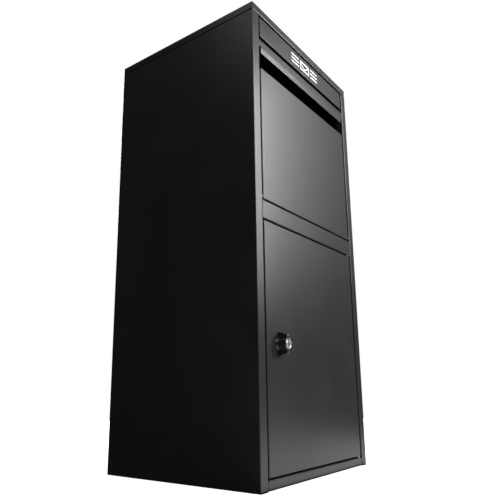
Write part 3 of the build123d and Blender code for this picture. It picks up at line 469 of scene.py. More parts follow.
def end_tabs(half, face, depth, low, high):
    """Tabs folded back at both ends of a bar, between two heights."""
    path = [(half - FOLD - LAP, face), (half, face), (half, face + depth)]
    tab = carried(sheet_section(path), low, high, UPRIGHT)
    return [tab, mirrored(tab)]


def rail(node, path, low, high):
    """Folded rail as wide as its CAD node, with end tabs between two heights."""
    node_low, node_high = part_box(node)
    half = node_high.x
    bar = carried(sheet_section(path), -half + FOLD, half - FOLD, ACROSS)
    return welded(bar, *end_tabs(half, node_low.y, RAIL_TAB, low, high))


def channel(name, node, foot):
    """Rail of channel section, open to the back, with a foot of its own depth."""
    low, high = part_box(node)
    path = [
        (low.y + RAIL_FLANGE, high.z),
        (low.y, high.z),
        (low.y, low.z),
        (low.y + foot, low.z),
    ]
    mesh = rail(node, path, low.z + FOLD, high.z - FOLD)
    fit(piece(name, mesh), "cabinet", COAT, node)


channel("middle_rail", "mid_rail", RAIL_FLANGE)
channel("lower_rail", "bottom_rail", JAMB_DEPTH - RAIL_SETBACK)

LIP_LENGTH = 0.0118
LIP_SLOPE = math.radians(3.5)
RAIL_FACE = 0.0195
SLOT_GAP = 0.0095  # from the letter flap down to the sill
RAIN_GAP = 0.0003
NOTCH = 0.0065
NOTCH_RISE = 0.0025
NOTCH_CORNER = 0.002
flap_low, flap_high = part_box("letter_flap")
upper_low, upper_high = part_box("upper_rail")
sill = flap_low.z - SLOT_GAP
crease = sill - RAIL_FACE
rain_y = flap_high.y + RAIN_GAP
lip_y = upper_low.y + LIP_LENGTH * math.sin(LIP_SLOPE)
lip_z = crease - LIP_LENGTH * math.cos(LIP_SLOPE)
grip_path = [
    (rain_y, upper_high.z),
    (rain_y, sill),
    (upper_low.y, sill),
    (upper_low.y, crease),
    (lip_y, lip_z),
]
notch_x = upper_high.x - NOTCH
notch_top = crease + NOTCH_RISE
below_lip = lip_z - LIP_LENGTH
notch_path = [(side, notch_top), (notch_x, notch_top), (notch_x, below_lip), (side, below_lip)]
notch_line = rounded_line(notch_path, (NOTCH_CORNER, 0))
notch = carried(notch_line, front - JAMB_DEPTH, front + JAMB_DEPTH, LENGTHWISE)
grip_bar = rail("upper_rail", grip_path, crease, sill - FOLD)
grip = combined(grip_bar, [notch, mirrored(notch)], "DIFFERENCE")
fit(piece("grip_rail", grip), "cabinet", COAT, "upper_rail")


def toward_middle(middle):
    """Direction from a point to the middle plane of the box."""
    return Vector((-math.copysign(1, middle.x), 0, 0))


rivets("rail_blind_rivets", "rail_rivets", "cabinet", toward_middle)

# ---------------------------------------------------------------- roof cap
# A lid with a skirt on all sides: hemmed in front, turned in under the sides and the back.
# It sits on a rubber strip and is screwed up from inside through the walls' top flanges.
CORNER = 0.0024
TIGHTEST = 0.0003
SKIRT_HEM = 0.010
HEM_GAP = 0.00005  # air between the skirt and its hem


def rim(spans, inset, level, place, front_limit=math.inf):
    """Rounded rectangle set in from an outline; its front side may be set in less."""
    (u0, u1), (v0, v1) = spans
    radius = max(CORNER - inset, TIGHTEST)
    near = v0 + min(inset, front_limit) + radius
    centres = (
        (u0 + inset + radius, near),
        (u1 - inset - radius, near),
        (u1 - inset - radius, v1 - inset - radius),
        (u0 + inset + radius, v1 - inset - radius),
    )
    ring = []
    for quarter, (u, v) in enumerate(centres):
        for i in range(BEND_STEPS + 1):
            turn = math.radians(180 + 90 * (quarter + i / BEND_STEPS))
            point = Vector((u + radius * math.cos(turn), v + radius * math.sin(turn), level))
            ring.append(place @ point)
    return ring


def add_pan(bm, spans, depth, place, lip=0.0, front_lip=math.inf):
    """Flat face, rounded folds and four walls, with lips turned in if asked for."""
    turns = [math.radians(90 * i / BEND_STEPS) for i in range(BEND_STEPS + 1)]
    track = [(FOLD * (1 - math.sin(a)), FOLD * (1 - math.cos(a))) for a in turns]
    if lip:
        low = depth - FOLD
        track += [(FOLD * (1 - math.cos(a)), low + FOLD * math.sin(a)) for a in turns]
        track += [(lip, depth), (lip, depth - SHEET)]
        track += [(FOLD - BEND * math.cos(a), low + BEND * math.sin(a)) for a in turns[::-1]]
    else:
        track += [(0, depth), (SHEET, depth)]
    track += [(FOLD - BEND * math.sin(a), FOLD - BEND * math.cos(a)) for a in turns[::-1]]
    add_rings(bm, [rim(spans, inset, level, place, front_lip) for inset, level in track])


cap_low, cap_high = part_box("roof_cap")
# The lid is drawn from its top, with depth counted downward.
cap_face = Matrix(((1, 0, 0, 0), (0, 1, 0, 0), (0, 0, -1, cap_high.z), (0, 0, 0, 1)))
cap_spans = ((cap_low.x, cap_high.x), (cap_low.y, cap_high.y))
cap = bmesh.new()
add_pan(cap, cap_spans, cap_high.z - cap_low.z, cap_face, TOP_FLANGE, 2 * SHEET)
leaf_front = cap_low.y + SHEET + HEM_GAP
leaf_back = cap_low.y + 2 * SHEET
leaf = [
    (leaf_front, cap_low.z + SHEET),
    (leaf_back, cap_low.z + SHEET),
    (leaf_back, cap_low.z + SKIRT_HEM),
    (leaf_front, cap_low.z + SKIRT_HEM),
]
carried(leaf, cap_low.x + TOP_FLANGE, cap_high.x - TOP_FLANGE, ACROSS, cap)
fit(piece("lid", cap), "cabinet", COAT, "roof_cap")

RUBBER_DARK = (0.012, 0.012, 0.012)
RUBBER_DUSTY = (0.028, 0.028, 0.027)


def rubber():
    """Dull black moulded rubber with a fine dusty bloom."""
    material = finish("black_rubber", 0.78)
    bloom = grain(material, waves=220.0, detail=4.0)
    tint(material, spread(material, bloom), RUBBER_DARK, RUBBER_DUSTY)
    relief(material, grain(material, waves=3000.0), height=0.00003)
    return material


RUBBER = (rubber(), "black_rubber")
dress("roof_seal", RUBBER)
dress("roof_nuts", ZINC)

SCREW_HEAD = 0.003
SCREW_RIM = 0.0006
SCREW_SHANK = 0.0024
SCREW_END = 0.00192
SCREW_POINT = 0.00072  # height of the chamfer at the point
SCREW_STEPS = 24
RECESS = 0.0016  # both radius and depth of the driving recess


def screw_head(length, radius, height, rim_height):
    """Profile of a domed head with a driving recess, from its seat to its end."""
    seat = length - height
    recess = [(RECESS, length), (RECESS, length - RECESS), (0, length - RECESS)]
    return [(radius, seat)] + dome(radius, seat, height, rim_height) + recess


def lid_screw_profile(length, radius):
    """Screw that stands on its point."""
    shank = [(0, 0), (SCREW_END, 0), (SCREW_SHANK, SCREW_POINT), (SCREW_SHANK, length - SCREW_HEAD)]
    return shank + screw_head(length, radius, SCREW_HEAD, SCREW_RIM)


def downward(middle):
    """Every such piece points to the floor."""
    return (0, 0, -1)


round_pieces(
    "lid_screws", "roof_screws", "cabinet", ZINC, downward, lid_screw_profile, SCREW_STEPS
)

# ---------------------------------------------------------------- baffle
# A fixed sloping plate behind the hopper keeps hands out of the parcel store. It is the same
# coated sheet, riveted to the back panel through an upturned flange.
dress("parcel_baffle", COAT)
rivets("baffle_blind_rivets", "baffle_rivets", "cabinet", to_back)

# ---------------------------------------------------------------- letter flap
# The flap hangs on a steel rod through the jambs and through an ear at each end. Its lower
# edge is hemmed, and its face has a printed envelope sign between two sets of bars.
FLAP_HEM = 0.009
flap_half = flap_high.x
flap_depth = flap_high.y - flap_low.y
hem_steps = 2 * BEND_STEPS
hem_turns = [math.radians(180 + 180 * i / hem_steps) for i in range(hem_steps + 1)]
hem_y = flap_low.y + SHEET
hem_z = flap_low.z + SHEET
flap_outline = [(flap_low.y, flap_high.z)]
flap_outline += [(hem_y + SHEET * math.cos(a), hem_z + SHEET * math.sin(a)) for a in hem_turns]
flap_outline += [
    (hem_y + SHEET, flap_low.z + FLAP_HEM),
    (hem_y, flap_low.z + FLAP_HEM),
    (hem_y, flap_high.z),
]
flap_middle = carried(flap_outline, -flap_half + FOLD, flap_half - FOLD, ACROSS)
ears = end_tabs(flap_half, flap_low.y, flap_depth, hem_z, flap_high.z)
fit(piece("flap", welded(flap_middle, *ears)), "flap", COAT, "letter_flap")

ROD_CHAMFER = 0.0005
RUNNING_FIT = 0.00006  # play between a rod or pin and what goes round it
CAP_SHELL = ((0.96, 0), (1, 0.15), (1, 0.5), (0.85, 0.9))  # shares of radius and height
CAP_MOUTH = 0.0004
CAP_LIP = 0.9  # share of a cap's height at which its bore opens out
rod_low, rod_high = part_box("flap_hinge_rod")
rod_bore = (rod_high.z - rod_low.z) / 2 + RUNNING_FIT


def rod_profile(length, radius):
    """Plain rod with both ends chamfered."""
    eased = radius - ROD_CHAMFER
    first = [(0, 0), (eased, 0), (radius, ROD_CHAMFER)]
    return first + [(radius, length - ROD_CHAMFER), (eased, length), (0, length)]


def cap_profile(length, radius):
    """Pressed cap that is pushed over an end of the rod."""
    shell = [(radius * across, length * along) for across, along in CAP_SHELL]
    mouth = [(rod_bore + CAP_MOUTH, length), (rod_bore, length * CAP_LIP)]
    return [(rod_bore, 0)] + shell + mouth


def to_right(middle):
    """Every such piece points to the right."""
    return (1, 0, 0)


def from_middle(middle):
    """Direction from the middle plane of the box to a point."""
    return -toward_middle(middle)


round_pieces("flap_rod", "flap_hinge_rod", "cabinet", ZINC, to_right, rod_profile)
round_pieces("rod_push_caps", "rod_end_caps", "cabinet", ZINC, from_middle, cap_profile)

SIGN_WIDTH = 0.125
SIGN_HEIGHT = 0.024
SIGN_RISE = 0.001  # above the middle of the flap
SIGN_LINE = 0.0042
SIGN_COAT = 0.00006
ENVELOPE_WIDTH = 0.044
FOLD_LINE = 0.00336
FOLD_ROUND = 0.00105
FOLD_POINT = 0.004  # how far the envelope's fold reaches below its middle
BAR_GAP = 0.006
BAR_CORNER = 0.00105
INK_THIN = (0.78, 0.78, 0.77)
INK_FULL = (0.9, 0.9, 0.89)


def rounded_shape(corners, radii):
    """Closed outline with rounded corners, begun halfway along its last side."""
    start = (Vector(corners[0]) + Vector(corners[-1])) / 2
    return rounded_line([start, *corners, start], radii)[:-1]


sign_z = (flap_low.z + flap_high.z) / 2 + SIGN_RISE
print_back = flap_low.y + SIGN_COAT
print_face = flap_low.y - SIGN_COAT
half_w = ENVELOPE_WIDTH / 2
half_h = SIGN_HEIGHT / 2
envelope = bmesh.new()
envelope_spans = ((-half_w, half_w), (sign_z - half_h, sign_z + half_h))
ring_track = ((0, print_back), (0, print_face), (SIGN_LINE, print_face), (SIGN_LINE, print_back))
print_rings = [rim(envelope_spans, inset, level, LENGTHWISE) for inset, level in ring_track]
add_rings(envelope, print_rings + [print_rings[0]], capped=False)
bmesh.ops.remove_doubles(envelope, verts=envelope.verts, dist=MERGE)
line_half = SIGN_LINE / 2
fold_path = [
    (half_w - line_half, sign_z + half_h - line_half),
    (0, sign_z - FOLD_POINT),
    (-half_w + line_half, sign_z + half_h - line_half),
]
fold_section = sheet_section(fold_path, FOLD_LINE, FOLD_ROUND)
sign = welded(envelope, carried(fold_section, print_face, print_back, LENGTHWISE))
bar_inner = half_w + BAR_GAP
bar_outer = SIGN_WIDTH / 2
for level in (-1, 0, 1):
    bar_z = sign_z + level * (half_h - line_half)
    bar_corners = [
        (bar_inner, bar_z - line_half),
        (bar_outer, bar_z - line_half),
        (bar_outer, bar_z + line_half),
        (bar_inner, bar_z + line_half),
    ]
    bar_line = rounded_shape(bar_corners, [BAR_CORNER] * 4)
    carried(bar_line, print_face, print_back, LENGTHWISE, sign)
    other_bar = [(-point.x, point.y) for point in bar_line]
    carried(other_bar, print_face, print_back, LENGTHWISE, sign)


def white_ink():
    """Screen-printed white, a little thin in places."""
    material = finish("white_print", 0.45)
    thin = grain(material, waves=500.0, detail=3.0)
    tint(material, spread(material, thin), INK_THIN, INK_FULL)
    relief(material, grain(material, waves=2600.0), height=0.00001)
    return material


fit(piece("letter_sign", sign, None), "flap", (white_ink(), POWDER))

# ---------------------------------------------------------------- parcel hopper
# The hopper tilts forward on two shoulder studs: a folded front, two rounded cheeks and a
# sloping chute plate, riveted together. Rubber rings on its cheeks stop it at the jambs.
RING_BORE = 0.002
RING_ROUND = 0.0008
RING_WAIST = 0.94  # share of the ring's radius
WAIST_SPAN = (0.4, 0.6)  # shares of its length
BOLT_HEAD = 0.0014
BOLT_RADIUS = 0.002
BOLT_FACE = 0.8  # flat of the inner head, as a share of its radius
BOLT_ROUND = 0.00056


def front_panel(node, cuts=()):
    """Pan with its face to the front, as deep as its CAD node."""
    low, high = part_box(node)
    spans = ((low.x, high.x), (low.z, high.z))
    place = Matrix.Translation((0, low.y, 0)) @ LENGTHWISE
    bm = bmesh.new()
    add_pan(bm, spans, high.y - low.y, place)
    return combined(bm, cuts, "DIFFERENCE") if cuts else bm


def ring_profile(length, radius):
    """Moulded rubber ring with rounded edges and a shallow waist."""
    waist = radius * RING_WAIST
    start, end = WAIST_SPAN
    eased = radius - RING_ROUND
    lower = [(RING_BORE, 0), (eased, 0), (radius, RING_ROUND), (waist, length * start)]
    upper = [(waist, length * end), (radius, length - RING_ROUND), (eased, length)]
    return lower + upper + [(RING_BORE, length)]


def bolt_profile(length, radius):
    """Low round heads on both ends of a plain shank."""
    seat = length - BOLT_HEAD
    inner = [(0, 0), (radius * BOLT_FACE, 0), (radius, BOLT_ROUND), (radius, BOLT_HEAD)]
    shank = [(BOLT_RADIUS, BOLT_HEAD), (BOLT_RADIUS, seat)]
    return inner + shank + dome(radius, seat, BOLT_HEAD) + [(0, length)]


fit(piece("hopper_front", front_panel("hopper_panel")), "hopper", COAT, "hopper_panel")
for node in ("right_cheek", "left_cheek", "chute_plate"):
    dress(node, COAT)
rivets("hopper_blind_rivets", "hopper_rivets", "hopper", from_middle)
round_pieces("stop_rings", "stop_buffers", "hopper", RUBBER, from_middle, ring_profile)
round_pieces("stop_bolts", "stop_buffer_bolts", "hopper", ZINC, from_middle, bolt_profile)

STUD_RADIUS = 0.0025
STUD_CHAMFER = 0.0005
STUD_GAP = 0.0003  # play between the shoulder and the hopper's panel
STUD_THREAD = 0.002
STUD_ROOT = 0.00172
STUD_END = 0.0016
THREAD_PITCH = 0.0007
stud_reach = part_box("hopper_pivot_studs")[1].x - opening
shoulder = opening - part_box("hopper_panel")[1].x - STUD_GAP


def stud_profile(length, radius):
    """Plain journal, wide shoulder against the jamb, and a cut thread."""
    shoulder_end = length - stud_reach
    shoulder_start = shoulder_end - shoulder
    profile = [(0, 0), (STUD_RADIUS - STUD_CHAMFER, 0), (STUD_RADIUS, STUD_CHAMFER)]
    profile += [(STUD_RADIUS, shoulder_start), (radius, shoulder_start), (radius, shoulder_end)]
    for i in range(int(stud_reach / THREAD_PITCH)):
        root = shoulder_end + i * THREAD_PITCH
        profile += [(STUD_ROOT, root), (STUD_THREAD, root + THREAD_PITCH / 2)]
    return profile + [(STUD_END, length), (0, length)]


round_pieces("hopper_studs", "hopper_pivot_studs", "cabinet", ZINC, from_middle, stud_profile)

NUT_FACE = 0.96  # round face of a nut, as a share of its width
NUT_CHAMFER = 0.6  # share of what a nut's corner stands out by


def bore(radius, start, end, place, steps=TURN_STEPS):
    """Plain round cutter between two heights of a place."""
    return turned([(0, start), (radius, start), (radius, end), (0, end)], place, steps)


def hexagon_nut(base, way, across, height, hole):
    """Hexagonal nut with both faces chamfered, bored through."""
    place = pointing(base, way)
    corner = across / math.sqrt(3)
    turns = [math.radians(60 * i) for i in range(6)]
    corners = [(corner * math.cos(a), corner * math.sin(a)) for a in turns]
    block = carried(corners, 0, height, place)
    face_radius = across / 2 * NUT_FACE
    chamfer = (corner - across / 2) * NUT_CHAMFER
    cone = [(0, 0), (face_radius, 0), (corner, chamfer), (corner, height - chamfer)]
    cone += [(face_radius, height), (0, height)]
    chamfered = combined(block, [turned(cone, place)], "INTERSECT")
    return combined(chamfered, [bore(hole, -height, 2 * height, place)], "DIFFERENCE")


def gathered(meshes):
    """Separate meshes put together as one."""
    bm = bmesh.new()
    for mesh in meshes:
        part = bpy.data.meshes.new("part")
        mesh.to_mesh(part)
        mesh.free()
        bm.from_mesh(part)
        bpy.data.meshes.remove(part)
    return bm


stud_nuts = []
for low, high in solids("pivot_stud_nuts"):
    middle = (low + high) / 2
    way = from_middle(middle)
    height = high.x - low.x
    base = middle - way * height / 2
    stud_nuts.append(hexagon_nut(base, way, high.y - low.y, height, STUD_THREAD))
fit(piece("hopper_stud_nuts", gathered(stud_nuts)), "cabinet", ZINC, "pivot_stud_nuts")

# ---------------------------------------------------------------- hopper rests
# Small angles on the jambs, each with a round rubber bumper that the closed hopper lands on.
# The angles are coated with the cabinet; the bumpers are pressed into them.
BUMPER_ROUND = 0.0009
BUMPER_SIDE = 0.00144  # how far below its top a bumper's side begins to round


def to_front(middle):
    """Every such piece points to the front."""
    return (0, -1, 0)


def bumper_profile(length, radius):
    """Round bumper with a softly rounded top."""
    side_wall = [(0, 0), (radius, 0), (radius, length - BUMPER_SIDE)]
    return side_wall + dome(radius, length - BUMPER_ROUND, BUMPER_ROUND) + [(0, length)]


dress("hopper_rest_brackets", COAT)
round_pieces("hopper_bumpers", "hopper_rest_pads", "cabinet", RUBBER, to_front, bumper_profile)

# ---------------------------------------------------------------- door
# A folded door on two steel pins in the rails, stiffened behind by a spot-welded hat section.
# It closes on a coated angle with two rubber bumpers on the left jamb.
LOCK_HOLE = 0.0097
body_low, body_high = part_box("lock_body")
lock_axis = (body_low + body_high) / 2
flat_lock = Vector((lock_axis.x, 0, lock_axis.z))
door_low, door_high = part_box("door_panel")
before_door = flat_lock + Vector((0, front - SHEET, 0))
lock_bore = bore(LOCK_HOLE, 0, 4 * SHEET, pointing(before_door, (0, 1, 0)))
fit(piece("door", front_panel("door_panel", [lock_bore])), "door", COAT, "door_panel")
dress("door_stiffener", COAT)
dress("door_stop_angle", COAT)
round_pieces("door_bumpers", "door_buffers", "cabinet", RUBBER, to_front, bumper_profile)

PIN_CHAMFER = 0.0004
PIN_HEAD = 0.0015
PIN_RADIUS = 0.002
WASHER_EDGE = 0.0003


def into_door(middle):
    """Direction from a pivot pin to the middle of the door's height."""
    return (0, 0, 1 if middle.z < (door_low.z + door_high.z) / 2 else -1)


def upward(middle):
    """Every such piece points to the roof."""
    return (0, 0, 1)


def pin_profile(length, radius):
    """Pin on its flat head, with chamfered edges."""
    head = [(0, 0), (radius - PIN_CHAMFER, 0), (radius, PIN_CHAMFER), (radius, PIN_HEAD)]
    shank = [(PIN_RADIUS, PIN_HEAD), (PIN_RADIUS, length - PIN_CHAMFER)]
    return head + shank + [(PIN_RADIUS - PIN_CHAMFER, length), (0, length)]


def washer_profile(length, radius, hole=PIN_RADIUS + RUNNING_FIT):
    """Flat washer with both outer edges eased."""
    eased = radius - WASHER_EDGE
    lower = [(hole, 0), (eased, 0), (radius, WASHER_EDGE)]
    return lower + [(radius, length - WASHER_EDGE), (eased, length), (hole, length)]


round_pieces("door_pins", "door_pivot_pins", "cabinet", ZINC, into_door, pin_profile)
round_pieces("door_washers", "door_pivot_washers", "cabinet", ZINC, upward, washer_profile)

# ---------------------------------------------------------------- lock body
# A black lacquered rosette and collar on the door's face, with the lock's threaded barrel
# behind, held by a washer and a large hexagonal nut.
ROSETTE = 0.0026
ROSETTE_RIM = 0.00143
ROSETTE_EDGE = 0.00221
COLLAR = 0.0020
COLLAR_RIM = 0.0014
COLLAR_STEP = 0.0018
BARREL = 0.0095
SPINDLE_BORE = 0.00608
GROOVE = 0.0004
LOCK_THREAD = 0.0012
LOCK_STEPS = 96
WASHER_STEPS = 64
TOOL_MARKS = 0.00035  # from one turning mark to the next
MARKS_WANDER = 1.5
RING_UNIT = 20  # rings in one unit of the ring texture
LACQUER_DARK = (0.010, 0.010, 0.010)
LACQUER_LIGHT = (0.018, 0.018, 0.018)


def tool_marks(material, height):
    """Fine turning marks about the lock's axis, which runs front to back."""
    nodes = material.node_tree.nodes
    links = material.node_tree.links
    place = nodes.new("ShaderNodeTexCoord")
    move = nodes.new("ShaderNodeMapping")
    move.inputs["Location"].default_value = -lock_axis
    rings = nodes.new("ShaderNodeTexWave")
    rings.wave_type = "RINGS"
    rings.rings_direction = "Y"
    rings.inputs["Scale"].default_value = 1 / (TOOL_MARKS * RING_UNIT)
    rings.inputs["Distortion"].default_value = MARKS_WANDER
    links.new(place.outputs["Object"], move.inputs["Vector"])
    links.new(move.outputs["Vector"], rings.inputs["Vector"])
    relief(material, rings.outputs["Fac"], height)


def lacquer():
    """Gloss black lacquer on die-cast zinc, with turning marks showing through."""
    material = finish("black_lacquer", 0.24)
    shader = material.node_tree.nodes["Principled BSDF"]
    shader.inputs["Coat Weight"].default_value = 0.4
    shader.inputs["Coat Roughness"].default_value = 0.12
    cloud = grain(material, waves=260.0, detail=3.0)
    tint(material, spread(material, cloud), LACQUER_DARK, LACQUER_LIGHT)
    drive(material, "Roughness", spread(material, cloud, 0.2, 0.3))
    tool_marks(material, height=0.00001)
    return material


def lock_place(y):
    """Place on the lock's axis at a depth, pointing to the front."""
    return pointing(flat_lock + Vector((0, y, 0)), (0, -1, 0))


door_face = door_low.y
rosette_radius = (body_high.x - body_low.x) / 2
collar_radius = rosette_radius - COLLAR_STEP
barrel_depth = body_high.y - door_face
collar_seat = barrel_depth + ROSETTE
collar_top = collar_seat + COLLAR
lock_profile = [(SPINDLE_BORE, 0), (BARREL - GROOVE, 0)]
for i in range(int(barrel_depth / LOCK_THREAD) - 1):
    root = GROOVE + i * LOCK_THREAD
    lock_profile += [(BARREL, root + LOCK_THREAD / 2), (BARREL - GROOVE, root + LOCK_THREAD)]
lock_profile += [
    (BARREL - GROOVE, barrel_depth),
    (rosette_radius - GROOVE / 2, barrel_depth),
    (rosette_radius, barrel_depth + GROOVE),
    (rosette_radius, barrel_depth + ROSETTE_RIM),
    (rosette_radius - GROOVE, barrel_depth + ROSETTE_EDGE),
    (rosette_radius - 3 * GROOVE, collar_seat),
    (collar_radius, collar_seat),
    (collar_radius, collar_seat + COLLAR_RIM),
    (collar_radius - GROOVE, collar_top),
    (SPINDLE_BORE, collar_top),
]
lock = turned(lock_profile, lock_place(body_high.y), LOCK_STEPS)
LACQUER = (lacquer(), "black_lock_metal")
fit(piece("lock_rosette", lock, None), "door", LACQUER, "lock_body")

nut_low, nut_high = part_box("lock_nut")
nut_base = flat_lock + Vector((0, nut_low.y, 0))
nut_size = nut_high - nut_low
barrel_nut = hexagon_nut(nut_base, (0, 1, 0), nut_size.z, nut_size.y, BARREL)
fit(piece("barrel_nut", barrel_nut), "door", ZINC, "lock_nut")


def barrel_washer_profile(length, radius):
    """Washer bored to pass the lock's barrel."""
    return washer_profile(length, radius, LOCK_HOLE)


round_pieces(
    "barrel_washer", "lock_washer", "door", ZINC, to_front, barrel_washer_profile, WASHER_STEPS
)

# ---------------------------------------------------------------- knob
# An upright wing grip moulded in black plastic, with a round boss that carries the key
# cylinder in a satin nickel sleeve.
KNOB_TIP = 0.036
KNOB_WING = 0.011
TIP_CORNER = 0.003
INNER_EDGE = 0.0006
BOSS = 0.0126
BOSS_ROUND = 0.0012
BOSS_EDGE = 0.00036
KNOB_VOXEL = 0.00035
KNOB_BLEND = 0.6
BLEND_ROUNDS = 8
CLEARANCE = 0.0005
COLLAR_ROOM = 0.008  # length of the recess that takes the rosette and its collar
PLASTIC_DARK = (0.0085, 0.0085, 0.009)
PLASTIC_LIGHT = (0.014, 0.014, 0.0145)
knob_low, knob_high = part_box("lock_knob")
knob_span = (knob_high.z - knob_low.z) / 2
wing_back = door_face - 2 * CLEARANCE
wing_corners = [
    (wing_back, lock_axis.z + knob_span),
    (knob_low.y, lock_axis.z + KNOB_TIP / 2),
    (knob_low.y, lock_axis.z - KNOB_TIP / 2),
    (wing_back, lock_axis.z - knob_span),
]
wing_line = rounded_shape(wing_corners, (INNER_EDGE, TIP_CORNER, TIP_CORNER, INNER_EDGE))
at_lock = Matrix.Translation((lock_axis.x, 0, 0)) @ ACROSS
wing = carried(wing_line, -KNOB_WING / 2, KNOB_WING / 2, at_lock)
boss_length = knob_high.y - knob_low.y
boss_profile = [
    (0, 0),
    (BOSS - INNER_EDGE, 0),
    (BOSS, INNER_EDGE),
    (BOSS, boss_length - BOSS_ROUND),
    (BOSS - BOSS_EDGE, boss_length - BOSS_EDGE),
    (BOSS - BOSS_ROUND, boss_length),
    (0, boss_length),
]
boss = turned(boss_profile, lock_place(knob_high.y), LOCK_STEPS)
grip_body = mesh_object("grip_body", welded(wing, boss))
smooth = grip_body.modifiers.new("moulded", "REMESH")
smooth.mode = "VOXEL"
smooth.voxel_size = KNOB_VOXEL
blend = grip_body.modifiers.new("blended", "SMOOTH")
blend.factor = KNOB_BLEND
blend.iterations = BLEND_ROUNDS
moulded = worked(grip_body)

bezel_low, bezel_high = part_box("cylinder_bezel")
bezel_radius = (bezel_high.x - bezel_low.x) / 2
bezel_seat = knob_high.y - bezel_high.y
plug_low, plug_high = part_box("key_plug")
plug_radius = (plug_high.x - plug_low.x) / 2
plug_room = plug_radius + CLEARANCE
plug_seat = bezel_seat - CLEARANCE
over_collar = collar_radius + CLEARANCE
over_rosette = rosette_radius + CLEARANCE
rosette_seat = knob_high.y - door_face + ROSETTE + CLEARANCE
past_boss = boss_length + SHEET
hollow_profile = [
    (0, -COLLAR_ROOM),
    (over_rosette, -COLLAR_ROOM),
    (over_rosette, rosette_seat),
    (over_collar, rosette_seat),
    (over_collar, 0),
    (SPINDLE_BORE, 0),
    (SPINDLE_BORE, plug_seat),
    (plug_room, plug_seat),
    (plug_room, bezel_seat),
    (bezel_radius, bezel_seat),
    (bezel_radius, past_boss),
    (0, past_boss),
]
hollow = turned(hollow_profile, lock_place(knob_high.y), LOCK_STEPS)


def moulded_plastic():
    """Black moulded plastic: satin skin with a fine spark-eroded grain."""
    material = finish("knob_plastic", 0.36)
    cloud = grain(material, waves=300.0)
    tint(material, spread(material, cloud), PLASTIC_DARK, PLASTIC_LIGHT)
    drive(material, "Roughness", spread(material, cloud, 0.32, 0.42))
    relief(material, grain(material, waves=5200.0), height=0.00001)
    return material


PLASTIC = (moulded_plastic(), "knob_plastic")
knob = piece("wing_knob", combined(moulded, [hollow], "DIFFERENCE"), None)
fit(knob, "knob", PLASTIC, "lock_knob")

PLUG_BORE = 0.00708
BEZEL_CHAMFER = 0.0007
BEZEL_EDGE = 0.00021
NICKEL_DARK = (0.44, 0.43, 0.41)
NICKEL_LIGHT = (0.66, 0.65, 0.62)


def nickel():
    """Satin nickel plate over turned brass."""
    material = finish("satin_nickel", 0.30, metallic=1.0)
    cloud = grain(material, waves=700.0, detail=3.0)
    tint(material, spread(material, cloud), NICKEL_DARK, NICKEL_LIGHT)
    drive(material, "Roughness", spread(material, cloud, 0.24, 0.38))
    tool_marks(material, height=0.00002)
    return material


def sleeve_profile(length, radius):
    """Sleeve with its outer edge rounded and its mouth chamfered."""
    outside = [(PLUG_BORE, 0), (radius, 0), (radius, length - BEZEL_CHAMFER)]
    outside += [(radius - BEZEL_EDGE, length - BEZEL_EDGE), (radius - BEZEL_CHAMFER, length)]
    return outside + [(PLUG_BORE + BEZEL_CHAMFER, length), (PLUG_BORE, length - BEZEL_CHAMFER)]


NICKEL = (nickel(), "nickel_plated_brass")
round_pieces(
    "cylinder_sleeve", "cylinder_bezel", "knob", NICKEL, to_front, sleeve_profile, LOCK_STEPS
)

# ---------------------------------------------------------------- key plug
# The plug of the key cylinder, turned from brass and nickel plated, with a narrow slot that
# is chamfered at its mouth.
SLOT_WIDTH = 0.0018
SLOT_HEIGHT = 0.009
SLOT_DEPTH = 0.004
SLOT_CORNER = 0.00045
SLOT_EDGE = 0.0001
PLUG_CHAMFER = 0.0004
FACE_RING = ((0.72, 0), (0.70, 0.0002), (0.62, 0.0002), (0.60, 0))  # shares of radius, depths
plug_length = plug_high.y - plug_low.y
plug_profile = [(0, 0), (plug_radius, 0), (plug_radius, plug_length - PLUG_CHAMFER)]
plug_profile += [(plug_radius - PLUG_CHAMFER, plug_length)]
plug_profile += [(plug_radius * share, plug_length - deep) for share, deep in FACE_RING]
plug_profile += [(0, plug_length)]
plug = turned(plug_profile, lock_place(plug_high.y), LOCK_STEPS)
slot_left = lock_axis.x - SLOT_WIDTH / 2
slot_right = lock_axis.x + SLOT_WIDTH / 2
slot_foot = lock_axis.z - SLOT_HEIGHT / 2
slot_top = lock_axis.z + SLOT_HEIGHT / 2
slot_corners = [
    (slot_right, slot_foot),
    (slot_right, slot_top),
    (slot_left, slot_top),
    (slot_left, slot_foot),
]
slot_line = rounded_shape(slot_corners, [SLOT_CORNER] * 4)
slot = carried(slot_line, plug_low.y - SHEET, plug_low.y + SLOT_DEPTH, LENGTHWISE)
slotted = combined(plug, [slot], "DIFFERENCE")
fit(piece("key_cylinder_plug", slotted, SLOT_EDGE), "plug", NICKEL, "key_plug")

# ---------------------------------------------------------------- spindle and cam
# Behind the door the spindle's square end carries a flat steel cam, held by one screw. The
# cam hangs down when the door is unlocked and turns behind the left jamb to lock it.
CAM_HEAD = 0.0028
CAM_RIM = 0.00056
CAM_SHANK = 0.0024


def cam_screw_profile(length, radius):
    """Screw that stands on the flat end of its shank."""
    shank = [(0, 0), (CAM_SHANK, 0), (CAM_SHANK, length - CAM_HEAD)]
    return shank + screw_head(length, radius, CAM_HEAD, CAM_RIM)


for node in ("lock_spindle", "lock_cam"):
    dress(node, ZINC)
round_pieces("cam_fixing_screw", "cam_screw", "knob", ZINC, to_back, cam_screw_profile)

